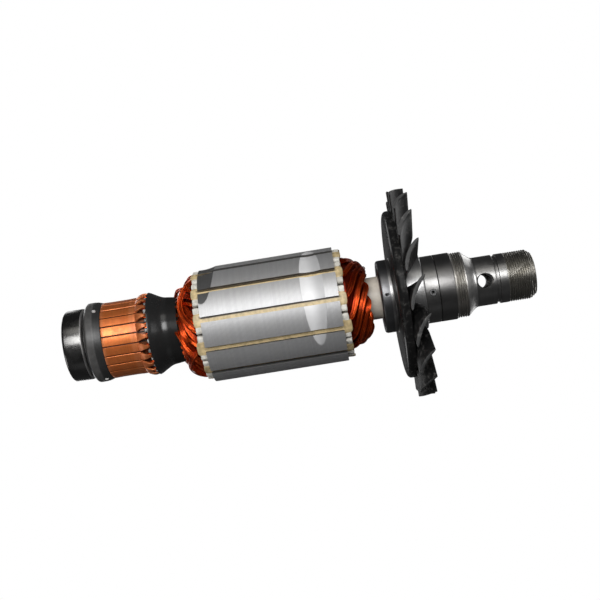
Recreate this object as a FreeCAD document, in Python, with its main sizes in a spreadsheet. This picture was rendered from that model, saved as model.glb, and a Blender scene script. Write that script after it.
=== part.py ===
import FreeCAD, Part
import math
import os
import re
import Sketcher

# Armature of a hand-held electric tool. The shaft's axis is +Z. The tail bearing stands on z = 0 and the
# threaded nose points up. Angles are in degrees about +Z, counted from +X. All sizes are in millimetres.

SIZES = {
    # tail bearing, a deep-groove ball bearing with two shields
    "bearing_bore": 15.0,
    "bearing_outer": 32.0,
    "bearing_width": 9.0,
    "bearing_bevel": 0.8,
    "bore_bevel": 0.5,
    "ball_diameter": 4.762,
    "ball_count": 9,
    "ball_play": 0.06,
    "race_depth": 0.86,
    "shield_thickness": 0.4,
    "shield_inset": 0.5,
    "shield_gap": 0.3,
    "cage_wall": 1.4,
    "cage_margin": 0.5,
    "pocket_play": 0.12,
    # slinger ring between the bearing and the commutator
    "slinger_height": 8.7,
    "slinger_diameter": 35.6,
    "slinger_gap": 0.9,
    "slinger_foot": 19.0,
    "slinger_cone": 1.6,
    "slinger_cone_height": 1.2,
    "slinger_shoulder": 2.2,
    "pip_count": 3,
    "pip_diameter": 1.3,
    "pip_height": 0.5,
    "pip_drop": 1.76,
    "pip_turn": -20.5,
    # commutator
    "bar_count": 24,
    "bar_turn": 1.5,
    "bar_gap": 0.5,
    "bar_diameter": 34.2,
    "bar_depth": 4.6,
    "bar_length": 16.5,
    "hook_length": 4.4,
    "hook_width": 2.0,
    "hook_rise": 1.5,
    "hook_thickness": 1.3,
    "hook_root": 0.8,
    "hook_sink": 0.4,
    "riser_drop": 1.6,
    "mica_undercut": 0.8,
    "mica_play": 0.02,
    "bush_wall": 2.0,
    # resin that binds the leads behind the commutator
    "neck_length": 12.6,
    "neck_waist_height": 7.2,
    "neck_start_diameter": 37.6,
    "neck_waist_diameter": 30.6,
    "neck_end_diameter": 29.2,
    # shaft, its insulating sleeve and the laminated core
    "shaft_recess": 0.3,
    "shaft_bevel": 0.6,
    "shaft_diameter": 16.0,
    "sleeve_wall": 1.5,
    "sleeve_showing": 3.4,
    "core_diameter": 51.2,
    "core_length": 60.0,
    "slot_count": 12,
    "slot_turn": -5.5,
    "slot_opening": 2.35,
    "slot_depth": 12.0,
    "tooth_width": 3.6,
    "tip_thickness": 1.2,
    "tip_slope": 0.6,
    "liner_wall": 0.35,
    "cuff_height": 2.9,
    "cuff_spread": 1.5,
    "cuff_flare": 0.5,
    "cuff_root": 0.6,
    "wedge_width": 6.4,
    "wedge_thickness": 1.1,
    "wedge_bevel": 0.45,
    "wedge_reach": 3.7,
    # shallow grooves milled in the core to balance it
    "groove_radius": 20.0,
    "fan_groove_height": 49.3,
    "fan_groove_turn": -110.0,
    "fan_groove_depth": 0.65,
    "fan_groove_half": 60.0,
    "tail_groove_height": 1.4,
    "tail_groove_turn": -166.0,
    "tail_groove_depth": 1.0,
    "tail_groove_half": 54.0,
    "groove_runout": 10.0,
    # coils
    "coil_span": 5,
    "fan_bundle": 3.1,
    "fan_lower_depth": 9.8,
    "fan_upper_depth": 5.5,
    "tail_bundle": 2.9,
    "tail_lower_depth": 9.2,
    "tail_upper_depth": 5.4,
    "coil_play": 0.1,
    "layer_gap": 0.3,
    "side_reach": 1.5,
    "tail_head_height": 11.8,
    "fan_head_height": 14.6,
    # ring, fan and spacer in front of the core
    "hub_ring_diameter": 32.6,
    "hub_ring_height": 6.1,
    "hub_ring_bevel": 0.9,
    "dimple_diameter": 1.1,
    "dimple_depth": 0.8,
    "dimple_height": 2.6,
    "dimple_turn": -92.0,
    "fan_seat_diameter": 20.0,
    "fan_hub_diameter": 34.0,
    "fan_hub_height": 13.1,
    "plate_diameter": 75.0,
    "plate_thickness": 4.3,
    "plate_round": 3.2,
    "blade_count": 18,
    "blade_turn": 10.5,
    "blade_half_sweep": 8.5,
    "blade_tip_diameter": 92.7,
    "blade_start": 4.4,
    "blade_rise": 7.2,
    "blade_root_drop": 1.4,
    "blade_camber": 2.1,
    "blade_thickness": 2.0,
    "blade_edge": 1.2,
    "blade_lap": 1.5,
    "seat_diameter": 30.0,
    "collar_height": 6.4,
    "collar_bevel": 0.4,
    "grub_diameter": 3.2,
    "grub_turn": -84.0,
    "grub_height": 3.3,
    "grub_socket": 1.5,
    "grub_inset": 0.35,
    # spindle nose
    "seat_length": 6.9,
    "locknut_diameter": 29.2,
    "locknut_length": 5.1,
    "locknut_step": 0.2,
    "cone_diameter": 24.0,
    "cone_length": 4.4,
    "nose_fillet": 1.5,
    "nose_diameter": 22.0,
    "nose_plain_length": 9.0,
    "nose_groove_width": 1.5,
    "nose_groove_depth": 0.7,
    "nose_land_length": 3.5,
    "thread_length": 10.0,
    "nose_bevel_length": 2.5,
    "nose_end_diameter": 18.4,
    "cross_hole_diameter": 6.2,
    "cross_hole_bevel": 0.8,
    "cross_hole_height": 3.9,
    "collet_mouth": 15.6,
    "collet_bore": 12.6,
    "collet_taper_length": 12.0,
    "collet_depth": 38.0,
    "drill_point": 3.0,
}

# Heights of the seams between the pieces, each counted up the shaft from the one before.
HEIGHTS = {
    "commutator_foot": "bearing_width + slinger_height",
    "hook_foot": "commutator_foot + bar_length",
    "neck_foot": "hook_foot + hook_length",
    "neck_top": "neck_foot + neck_length",
    "core_foot": "neck_top + tail_head_height",
    "core_top": "core_foot + core_length",
    "hub_foot": "core_top + fan_head_height + sleeve_showing",
    "fan_foot": "hub_foot + hub_ring_height",
    "collar_foot": "fan_foot + fan_hub_height",
    "seat_foot": "collar_foot + collar_height",
    "locknut_foot": "seat_foot + seat_length",
    "cone_foot": "locknut_foot + locknut_length",
    "nose_foot": "cone_foot + cone_length",
    "thread_foot": "nose_foot + nose_plain_length + nose_groove_width + nose_land_length",
    "nose_top": "thread_foot + thread_length + nose_bevel_length",
}

doc = FreeCAD.newDocument("motor_armature")
sheet = doc.addObject("Spreadsheet::Sheet", "sizes")
for row, (name, value) in enumerate(SIZES.items(), start=1):
    sheet.set(f"A{row}", name)
    sheet.set(f"B{row}", str(value))
    sheet.setAlias(f"B{row}", name)
heights = doc.addObject("App::VarSet", "heights")
for name in HEIGHTS:
    heights.addProperty("App::PropertyFloat", name)


def bound(text):
    """The expression with each name in it pointing at its cell or height."""
    def point(match):
        name = match.group(0)
        if name in SIZES:
            return "sizes." + name
        if name in HEIGHTS:
            return "heights." + name
        return name
    return re.sub(r"[a-z_]+", point, text)


for name, text in HEIGHTS.items():
    heights.setExpression(name, bound(text))
doc.recompute()


def size(name):
    """A size or a height as a number."""
    return float(getattr(sheet, name) if name in SIZES else getattr(heights, name))


def radius(name):
    """Half of a diameter."""
    return size(name) / 2


def place(item, height="0", turn="0"):
    """Set an object at a height on the shaft, turned about it."""
    item.setExpression("Placement.Base.z", bound(height))
    item.setExpression("Placement.Rotation.Axis.z", "1")
    item.setExpression("Placement.Rotation.Angle", bound(turn))


def plane_of(body, role):
    """One of a body's own origin planes or axes."""
    return [item for item in body.Origin.OriginFeatures if item.Role == role][0]


def add_outline(body, name, role, points):
    """A closed sketch of straight lines on a body's own plane, each corner bound to two expressions."""
    sketch = body.newObject("Sketcher::SketchObject", name)
    sketch.AttachmentSupport = [(plane_of(body, role), "")]
    sketch.MapMode = "FlatFace"
    count = len(points)
    start = [FreeCAD.Vector(30 + 10 * math.cos(2 * math.pi * i / count),
                            30 + 10 * math.sin(2 * math.pi * i / count), 0) for i in range(count)]
    sketch.addGeometry([Part.LineSegment(start[i], start[(i + 1) % count]) for i in range(count)], False)
    for i in range(count):
        sketch.addConstraint(Sketcher.Constraint("Coincident", i, 2, (i + 1) % count, 1))
    for i, (across, along) in enumerate(points):
        for kind, text, other_axis in (("DistanceX", across, -2), ("DistanceY", along, -1)):
            if text == "0":
                sketch.addConstraint(Sketcher.Constraint("PointOnObject", i, 1, other_axis))
            else:
                index = sketch.addConstraint(Sketcher.Constraint(kind, -1, 1, i, 1, 20.0))
                sketch.setExpression(f"Constraints[{index}]", bound(text))
    return sketch


def edges_through(shape, points):
    """Names of the circular edges of a turned shape that pass through points of its outline."""
    found = []
    for number, edge in enumerate(shape.Edges, start=1):
        if not isinstance(edge.Curve, Part.Circle):
            continue
        for point in points:
            if abs(edge.Curve.Radius - point.x) < 1e-4 and abs(edge.Curve.Center.z - point.y) < 1e-4:
                found.append(f"Edge{number}")
    return found


def turned(label, outline, height="0", turn="0", bevels=None):
    """A body turned about Z from an outline of (radius, height) corners, some of them bevelled."""
    body = doc.addObject("PartDesign::Body", label)
    sketch = add_outline(body, label + "_outline", "XZ_Plane", outline)
    feature = body.newObject("PartDesign::Revolution", label + "_turned")
    feature.Profile = sketch
    feature.ReferenceAxis = (sketch, ["V_Axis"])
    feature.Angle = 360
    doc.recompute()
    for text, corners in (bevels or {}).items():
        names = edges_through(body.Shape, [sketch.getPoint(corner, 1) for corner in corners])
        bevelled = body.newObject("PartDesign::Chamfer", label + "_bevel")
        bevelled.Base = (feature, names)
        bevelled.setExpression("Size", bound(text))
        doc.recompute()
        feature = bevelled
    place(body, height, turn)
    return body


def ring_outline(inner, outer, low, high):
    """Corners of a plain ring's section."""
    return [(inner, low), (outer, low), (outer, high), (inner, high)]


def circle_sketch(body, name, role, across, along, radius_text):
    """A sketch of one circle, its centre and radius bound to expressions."""
    sketch = body.newObject("Sketcher::SketchObject", name)
    sketch.AttachmentSupport = [(plane_of(body, role), "")]
    sketch.MapMode = "FlatFace"
    sketch.addGeometry(Part.Circle(FreeCAD.Vector(5, 5, 0), FreeCAD.Vector(0, 0, 1), 2), False)
    for kind, text, other_axis in (("DistanceX", across, -2), ("DistanceY", along, -1)):
        if text == "0":
            sketch.addConstraint(Sketcher.Constraint("PointOnObject", 0, 3, other_axis))
        else:
            index = sketch.addConstraint(Sketcher.Constraint(kind, -1, 1, 0, 3, 5.0))
            sketch.setExpression(f"Constraints[{index}]", bound(text))
    index = sketch.addConstraint(Sketcher.Constraint("Radius", 0, 2.0))
    sketch.setExpression(f"Constraints[{index}]", bound(radius_text))
    return sketch


def check_cut(body, before, what):
    """Stop if a cut took nothing away."""
    if not body.Shape.Volume < before - 1e-6:
        raise RuntimeError(what + " cut nothing")


def add_feature(label, shape, height=0.0, turn=0.0):
    """A sub-part whose shape is worked out here."""
    feature = doc.addObject("Part::Feature", label)
    feature.Shape = shape
    feature.Placement = FreeCAD.Placement(FreeCAD.Vector(0, 0, height),
                                          FreeCAD.Rotation(FreeCAD.Vector(0, 0, 1), turn))
    return feature


def around(shape, count, turn=0.0):
    """Copies of a shape spaced evenly about Z."""
    copies = []
    for index in range(int(count)):
        copy = shape.copy()
        copy.rotate(FreeCAD.Vector(), FreeCAD.Vector(0, 0, 1), turn + 360 * index / count)
        copies.append(copy)
    return copies


def polygon_face(points):
    """A flat face inside a closed ring of points."""
    return Part.Face(Part.makePolygon(points + points[:1]))


def skinned(rings):
    """A solid of flat facets through rings that have as many points each."""
    faces = [polygon_face(rings[0]), polygon_face(rings[-1])]
    for lower, upper in zip(rings, rings[1:]):
        for i in range(len(lower)):
            j = (i + 1) % len(lower)
            faces.append(polygon_face([lower[i], lower[j], upper[j]]))
            faces.append(polygon_face([lower[i], upper[j], upper[i]]))
    shell = Part.makeShell(faces)
    shell.sewShape()
    solid = Part.makeSolid(shell)
    if solid.Volume < 0:
        solid.reverse()
    return solid.removeSplitter()


def polygon_points(distance, height, sides):
    """Corners of equal sides round Z at a height."""
    turns = [2 * math.pi * i / sides for i in range(sides)]
    return [FreeCAD.Vector(distance * math.cos(turn), distance * math.sin(turn), height) for turn in turns]


# Tail bearing: two rings, the balls in their cage and two shields pressed into the outer ring. Each race is
# three flats that touch the ball's circle, and the hidden balls and cage have flat facets, to keep them light.
PITCH_RADIUS = "(bearing_bore + bearing_outer) / 4"
INNER_LAND = PITCH_RADIUS + " - ball_diameter / 2 + race_depth"
OUTER_LAND = PITCH_RADIUS + " + ball_diameter / 2 - race_depth"
RACE_RADIUS = "(ball_diameter / 2 + ball_play)"
RACE_FLOOR_HALF = RACE_RADIUS + " * tan(22.5deg)"
RACE_MOUTH_HALF = "(" + RACE_RADIUS + " * sqrt(2) - ball_diameter / 2 + race_depth)"


def race_corners(land, floor):
    """The four corners of a race in a ring's outline, from its upper mouth to its lower one."""
    middle = "bearing_width / 2"
    return [(land, middle + " + " + RACE_MOUTH_HALF), (floor, middle + " + " + RACE_FLOOR_HALF),
            (floor, middle + " - " + RACE_FLOOR_HALF), (land, middle + " - " + RACE_MOUTH_HALF)]


def make_bearing():
    outer_race = race_corners(OUTER_LAND, PITCH_RADIUS + " + " + RACE_RADIUS)
    turned("bearing_outer_ring", ring_outline(OUTER_LAND, "bearing_outer / 2", "0", "bearing_width") + outer_race,
           bevels={"bearing_bevel": [1, 2]})
    inner_race = race_corners(INNER_LAND, PITCH_RADIUS + " - " + RACE_RADIUS)
    bore = "bearing_bore / 2"
    turned("bearing_inner_ring", [(bore, "bearing_width"), (bore, "0"), (INNER_LAND, "0")] + inner_race[::-1]
           + [(INNER_LAND, "bearing_width")], bevels={"bore_bevel": [0, 1]})
    for label, low in (("bearing_tail_shield", "shield_inset"),
                       ("bearing_core_shield", "bearing_width - shield_inset - shield_thickness")):
        turned(label, ring_outline(INNER_LAND + " + shield_gap", OUTER_LAND, "0", "shield_thickness"), low)
    make_balls_and_cage()


def faceted_ball(ball_radius, sides=8):
    """A ball with flat facets whose corners lie on the true ball."""
    rings = []
    for step in range(sides // 2):
        tilt = math.pi * (step + 0.5) / (sides // 2) - math.pi / 2
        rings.append(polygon_points(ball_radius * math.cos(tilt), ball_radius * math.sin(tilt), sides))
    return skinned(rings)


def make_balls_and_cage():
    pitch = (size("bearing_bore") + size("bearing_outer")) / 4
    middle = size("bearing_width") / 2
    ball = faceted_ball(radius("ball_diameter"))
    ball.translate(FreeCAD.Vector(pitch, 0, middle))
    add_feature("bearing_balls", Part.makeCompound(around(ball, size("ball_count"))))
    pocket = radius("ball_diameter") + size("pocket_play")
    half_width = pocket + size("cage_margin")
    wall = size("cage_wall")
    sides = int(4 * size("ball_count"))
    outside, inside = (prism(polygon_points(pitch + side * wall / 2, 0, sides), middle - half_width,
                             middle + half_width) for side in (1, -1))
    window = Part.makeBox(4 * wall, 2 * pocket, 2 * pocket,
                          FreeCAD.Vector(pitch - 2 * wall, -pocket, middle - pocket))
    add_feature("bearing_cage", outside.cut(inside).cut(around(window, size("ball_count"))))


# Slinger: a dark ring with a foot on the bearing's inner ring, a cone and a long rim.
def make_slinger():
    rim = "slinger_diameter / 2"
    bar = "bar_diameter / 2"
    body = turned("slinger_ring", [
        ("bearing_bore / 2", "0"),
        ("slinger_foot / 2", "0"),
        ("slinger_foot / 2", "slinger_gap"),
        (rim + " - slinger_cone", "slinger_gap"),
        (rim, "slinger_gap + slinger_cone_height"),
        (rim, "slinger_height - slinger_shoulder"),
        (bar, "slinger_height"),
        ("bearing_bore / 2", "slinger_height"),
    ], "bearing_width")
    pip = Part.makeCylinder(radius("pip_diameter"), size("slinger_cone") + size("pip_height"),
                            FreeCAD.Vector(radius("slinger_diameter") - size("slinger_cone"), 0, 0),
                            FreeCAD.Vector(1, 0, 0))
    height = size("commutator_foot") - size("pip_drop")
    tools = add_feature("slinger_pips", Part.makeCompound(around(pip, size("pip_count"), size("pip_turn"))), height)
    return join("slinger_with_pips", "Part::Fuse", body, tools)


def join(name, kind, base, tool):
    """A boolean of two objects."""
    result = doc.addObject(kind, name)
    result.Base = base
    result.Tool = tool
    return result


# Commutator: copper bars with hooks, strips between them, the moulding that holds them and its bush. A hook's
# back is given as how far out, as a share of its rise, and how far along, as a share of its length.
HOOK_BACK = [(0.75, 0.35), (1.0, 0.65), (0.35, 1.0)]
HOOK_BELLY = 0.62
HOOK_THROAT = 0.2

# How far a cutting tool or a blank runs past the face that it cuts or is cut at.
OVERRUN = 1.0


def make_commutator():
    bush_radius = "shaft_diameter / 2 + bush_wall"
    body_length = "bar_length + hook_length"
    turned("commutator_bush", ring_outline("shaft_diameter / 2", bush_radius, "0", body_length),
           "commutator_foot")
    bar_foot = "bar_diameter / 2 - bar_depth"
    turned("commutator_moulding", ring_outline(bush_radius, bar_foot, "0", body_length), "commutator_foot")
    outer = radius("bar_diameter")
    inner = outer - size("bar_depth")
    length = size("bar_length")
    full = length + size("hook_length")
    bars = ring_between(inner, outer, 0, length)
    risers = ring_between(inner, outer - size("riser_drop"), length, full)
    ring = bars.fuse(risers).removeSplitter()
    half_gap = size("bar_gap") / 2
    slot = Part.makeBox(outer, 2 * half_gap, full, FreeCAD.Vector(inner - OVERRUN, -half_gap, 0))
    pitch = 360 / size("bar_count")
    bars = ring.cut(around(slot, size("bar_count"), pitch / 2))
    hooks = around(hook_shape(outer, length, full), size("bar_count"))
    add_feature("commutator_bars", Part.makeCompound(with_hooks(bars.Solids, hooks)),
                size("commutator_foot"), size("bar_turn"))
    play = size("mica_play")
    half_strip = half_gap - play
    side = [(inner + play, 0), (outer - size("mica_undercut"), 0), (outer - size("mica_undercut"), length),
            (outer - size("riser_drop"), length), (outer - size("riser_drop"), full), (inner + play, full)]
    face = polygon_face([FreeCAD.Vector(r, -half_strip, z) for r, z in side])
    strip = face.extrude(FreeCAD.Vector(0, 2 * half_strip, 0))
    add_feature("commutator_mica", Part.makeCompound(around(strip, size("bar_count"), pitch / 2)),
                size("commutator_foot"), size("bar_turn"))


def ring_between(inner, outer, low, high):
    """A plain ring as a shape."""
    foot = FreeCAD.Vector(0, 0, low)
    return Part.makeCylinder(outer, high - low, foot).cut(Part.makeCylinder(inner, high - low, foot))


def hook_shape(outer, length, full):
    """A hook rises from the bar's end, bends over the wire and points back down at the riser."""
    half = size("hook_width") / 2
    rise = size("hook_rise")
    thick = size("hook_thickness")
    reach = full - length
    sunk = outer - size("riser_drop") - size("hook_sink")
    root = [(sunk, length - size("hook_root")), (outer, length - size("hook_root"))]
    back = [(outer + out * rise, length + along * reach) for out, along in HOOK_BACK]
    belly = [(outer + rise - thick, length + HOOK_BELLY * reach), (sunk, length + HOOK_THROAT * reach)]
    profile = root + back + belly
    face = polygon_face([FreeCAD.Vector(r, -half, z) for r, z in profile])
    return face.extrude(FreeCAD.Vector(0, 2 * half, 0))


def with_hooks(bars, hooks):
    """Each bar fused with the hook that starts on it."""
    joined = []
    for hook in hooks:
        owner = min(bars, key=lambda bar: bar.CenterOfMass.distanceToPoint(hook.CenterOfMass))
        joined.append(owner.fuse(hook).removeSplitter())
    return joined


# Resin neck: cast round the leads, it narrows in a hollow curve from the hooks to the coil heads. The curve's
# points between its start and its waist: how far along the neck, and how much of the narrowing is still to come.
NECK_CURVE = [(0.2, 0.72), (0.38, 0.32)]


def make_neck():
    narrowing = "(neck_start_diameter - neck_waist_diameter) / 2"
    waist = "neck_waist_diameter / 2"
    sleeve = "shaft_diameter / 2 + sleeve_wall"
    curve = [(f"{waist} + {left} * {narrowing}", f"{along} * neck_length") for along, left in NECK_CURVE]
    turned("lead_binding", [(sleeve, "0"), ("neck_start_diameter / 2", "0")] + curve
           + [(waist, "neck_waist_height"), ("neck_end_diameter / 2", "neck_length"), (sleeve, "neck_length")],
           "neck_foot")


# Shaft sleeve: it runs from the commutator to the hub ring, under the leads, the coils and the core.
def make_sleeve():
    turned("shaft_sleeve", ring_outline("shaft_diameter / 2", "shaft_diameter / 2 + sleeve_wall", "0",
                                        "hub_foot - neck_foot"), "neck_foot")


# Core: a stack of sheets with twelve half-closed slots and two grooves milled in it for balance.
HALF_PITCH = "180deg / slot_count"
CORE_RADIUS = "core_diameter / 2"


def slot_half_width(along):
    """Half the slot's width at a distance from the axis, between teeth with parallel sides."""
    return f"(({along}) * tan({HALF_PITCH}) - tooth_width / 2 / cos({HALF_PITCH}))"


def make_core():
    core = turned("core_stack", ring_outline("shaft_diameter / 2 + sleeve_wall", CORE_RADIUS, "0", "core_length"))
    before = core.Shape.Volume
    floor = CORE_RADIUS + " - slot_depth"
    shoulder = CORE_RADIUS + " - tip_thickness - tip_slope"
    sides = [
        (f"{CORE_RADIUS} + {OVERRUN}", "slot_opening / 2"),
        (CORE_RADIUS + " - tip_thickness", "slot_opening / 2"),
        (shoulder, slot_half_width(shoulder)),
        (floor, slot_half_width(floor)),
    ]
    points = sides + [(across, "-" + along) for across, along in reversed(sides)]
    sketch = add_outline(core, "slot_outline", "XY_Plane", points)
    pocket = core.newObject("PartDesign::Pocket", "slot")
    pocket.Profile = sketch
    pocket.Type = "ThroughAll"
    pocket.Midplane = True
    doc.recompute()
    check_cut(core, before, "slot")
    before = core.Shape.Volume
    pattern = core.newObject("PartDesign::PolarPattern", "slots")
    pattern.Originals = [pocket]
    pattern.Axis = (plane_of(core, "Z_Axis"), [""])
    pattern.Angle = 360
    pattern.setExpression("Occurrences", "sizes.slot_count")
    core.Tip = pattern
    doc.recompute()
    check_cut(core, before, "slot pattern")
    place(core, "core_foot", "slot_turn")
    for name in ("fan_groove", "tail_groove"):
        tool = add_feature(name + "_cut", Part.makeCompound([groove_cutter(name)]), size("core_foot"))
        before = core.Shape.Volume
        core = join(name + "_milled", "Part::Cut", core, tool)
        doc.recompute()
        check_cut(core, before, name)
    return core


def groove_cutter(name):
    """Part of a ring with a bulging inner wall, set off the axis so that its cut is deepest at one angle.

    On the line through the cut's middle the wall lies one depth inside the core, and it meets the core's
    face at half the cut's sweep to either side. The tool ends a little past there, clear of the core."""
    depth = size(name + "_depth")
    bulge = size("groove_radius")
    core = radius("core_diameter")
    half_sweep = math.radians(size(name + "_half"))
    offset = depth / (1 - math.cos(half_sweep))
    inner = core - depth + offset
    half_width = math.sqrt(2 * bulge * depth)
    low = FreeCAD.Vector(inner + depth, 0, -half_width)
    high = FreeCAD.Vector(inner + depth, 0, half_width)
    arc = Part.Arc(low, FreeCAD.Vector(inner, 0, 0), high).toShape()
    rim = inner + 4 * depth
    outer = [FreeCAD.Vector(rim, 0, half_width), FreeCAD.Vector(rim, 0, -half_width)]
    wire = Part.Wire([arc, Part.makeLine(high, outer[0]), Part.makeLine(outer[0], outer[1]),
                      Part.makeLine(outer[1], low)])
    swing = size(name + "_half") + size("groove_runout")
    face = Part.Face(wire)
    face.rotate(FreeCAD.Vector(), FreeCAD.Vector(0, 0, 1), -swing)
    tool = face.revolve(FreeCAD.Vector(), FreeCAD.Vector(0, 0, 1), 2 * swing)
    tool.translate(FreeCAD.Vector(-offset, 0, size(name + "_height")))
    tool.rotate(FreeCAD.Vector(), FreeCAD.Vector(0, 0, 1), size(name + "_turn"))
    return tool


# Slot insulation: a folded liner in each slot with a cuff at both ends, and a wedge that closes it.
def slot_corner(along, inset):
    """A point on the slot's flank, moved into the slot by an inset."""
    half_pitch = math.pi / size("slot_count")
    half = along * math.tan(half_pitch) - (size("tooth_width") / 2 + inset) / math.cos(half_pitch)
    return FreeCAD.Vector(along, half, 0)


def slot_ring(low, high, inset):
    """The four corners of the slot between two distances from the axis, moved in by an inset."""
    right = [slot_corner(low, inset), slot_corner(high, inset)]
    return right + [FreeCAD.Vector(point.x, -point.y, 0) for point in reversed(right)]


def prism(points, low, high):
    """A straight block on a flat outline."""
    face = polygon_face([FreeCAD.Vector(point.x, point.y, low) for point in points])
    return face.extrude(FreeCAD.Vector(0, 0, high - low))


def make_slot_insulation():
    length = size("core_length")
    floor = radius("core_diameter") - size("slot_depth")
    shoulder = radius("core_diameter") - size("tip_thickness") - size("tip_slope")
    wall = size("liner_wall")
    reach = size("cuff_height")
    spread = size("cuff_spread")
    wedge_top = shoulder + size("tip_slope") / 2
    wedge_foot = wedge_top - size("wedge_thickness")
    outside = prism(slot_ring(floor, wedge_foot, 0.0), 0, length)
    for low in (-reach, length):
        outside = outside.fuse(prism(slot_ring(floor - spread, wedge_top, -spread), low, low + reach))
    inside = prism(slot_ring(floor + wall, wedge_top + OVERRUN, wall), -reach, length + reach)
    flare = size("cuff_flare")
    root = size("cuff_root")
    for low in (-reach, length + root):
        inside = inside.fuse(prism(slot_ring(floor - flare, wedge_top + OVERRUN, -flare), low, low + reach - root))
    liner = outside.cut(inside).removeSplitter()
    count = size("slot_count")
    add_feature("slot_liners", Part.makeCompound(around(liner, count)), size("core_foot"), size("slot_turn"))
    half = size("wedge_width") / 2
    bevel = size("wedge_bevel")
    over = size("wedge_reach")
    outline = [FreeCAD.Vector(x, y, 0) for x, y in (
        (wedge_foot, -half), (wedge_top - bevel, -half), (wedge_top, bevel - half),
        (wedge_top, half - bevel), (wedge_top - bevel, half), (wedge_foot, half))]
    wedge = prism(outline, -over, length + over)
    add_feature("slot_wedges", Part.makeCompound(around(wedge, count)), size("core_foot"), size("slot_turn"))


# Coils: each lies at the bottom of one slot and at the top of another, and its ends cross over the others.
# The poles of an end's centre line, between its two exits: how far out from the lower exit to the upper one,
# how high in the head, and how far round from slot to slot, each as a share. The line rises out of the lower
# layer, dives under its neighbours to the shaft, turns over at the crown and comes down outside them.
COIL_ENDS = {
    "fan": [(0.0, 0.34, 0.0), (-0.44, 0.30, 0.16), (-1.16, 0.85, 0.44), (-0.14, 0.86, 0.48),
            (1.0, 0.51, 0.77), (1.0, 0.32, 1.0)],
    "tail": [(0.0, 0.47, 0.0), (-0.26, 0.34, 0.15), (-1.58, 0.62, 0.35), (-0.84, 0.92, 0.43),
             (1.13, 0.80, 0.71), (1.0, 0.33, 1.0)],
}


def head_line(name):
    """Centre line of a coil's end above the core's face, a cubic curve that follows its poles."""
    span = 2 * math.pi * size("coil_span") / size("slot_count")
    lower = radius("core_diameter") - size(name + "_lower_depth")
    upper = radius("core_diameter") - size(name + "_upper_depth")
    inside = -size("side_reach") / 2
    stations = [(lower, inside, 0.0)]
    for out, up, share in COIL_ENDS[name]:
        stations.append((lower + out * (upper - lower), up * size(name + "_head_height"), share * span))
    stations.append((upper, inside, span))
    poles = [FreeCAD.Vector(r * math.cos(turn), r * math.sin(turn), z) for r, z, turn in stations]
    curve = Part.BSplineCurve()
    curve.buildFromPoles(poles, False, 3)
    return curve


def bundle(curve, thickness, steps=11, sides=6):
    """A round bundle along a curve, as straight-sided lengths between turned cross-sections."""
    rings = []
    for step in range(steps):
        share = step / (steps - 1)
        at = curve.FirstParameter + (curve.LastParameter - curve.FirstParameter) * share
        centre = curve.value(at)
        along = FreeCAD.Vector(*curve.tangent(at)[0])
        outward = FreeCAD.Vector(centre.x, centre.y, 0)
        across = along.cross(outward).normalize()
        lift = across.cross(along).normalize()
        ring = []
        for side in range(sides):
            angle = 2 * math.pi * (side + 0.5) / sides
            ring.append(centre + (across * math.cos(angle) + lift * math.sin(angle)) * (thickness / 2))
        rings.append(ring)
    return skinned(rings)


def make_coils():
    length = size("core_length")
    floor = radius("core_diameter") - size("slot_depth") + size("liner_wall") + size("coil_play")
    shoulder = radius("core_diameter") - size("tip_thickness") - size("tip_slope")
    ceiling = shoulder + size("tip_slope") / 2 - size("wedge_thickness") - size("coil_play")
    inset = size("liner_wall") + size("coil_play")
    split = (floor + ceiling) / 2
    reach = size("side_reach")
    lower = prism(slot_ring(floor, split - size("layer_gap") / 2, inset), -reach, length + reach)
    upper = prism(slot_ring(split + size("layer_gap") / 2, ceiling, inset), -reach, length + reach)
    span = 360 * size("coil_span") / size("slot_count")
    upper.rotate(FreeCAD.Vector(), FreeCAD.Vector(0, 0, 1), span)
    fan_end = bundle(head_line("fan"), size("fan_bundle"))
    fan_end.translate(FreeCAD.Vector(0, 0, length))
    tail_end = bundle(head_line("tail"), size("tail_bundle")).mirror(FreeCAD.Vector(), FreeCAD.Vector(0, 0, 1))
    coil = lower.multiFuse([upper, fan_end, tail_end])
    add_feature("armature_coils", Part.makeCompound(around(coil, size("slot_count"))),
                size("core_foot"), size("slot_turn"))


# Hub ring: a dark ring with a small drilled dimple, between the sleeve and the fan.
def make_hub_ring():
    ring = turned("hub_ring_turned", ring_outline("fan_seat_diameter / 2", "hub_ring_diameter / 2", "0",
                                                  "hub_ring_height"), "hub_foot",
                  bevels={"hub_ring_bevel": [1], "hub_ring_bevel / 2": [2]})
    face = radius("hub_ring_diameter")
    dimple = radial_rod(radius("dimple_diameter"), face - size("dimple_depth"), face + OVERRUN)
    tool = add_feature("dimple_cut", dimple, size("hub_foot") + size("dimple_height"), size("dimple_turn"))
    return join("hub_ring_drilled", "Part::Cut", ring, tool)


# Fan: a steel hub carries a moulded plate whose rear edge is rounded, with cambered blades past its rim. The
# rounded edge is two flats. A blade runs through three sections with four straight lengths to a side.
BLADE_SHARES = [0.0, 0.25, 0.5, 0.75, 1.0]


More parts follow.
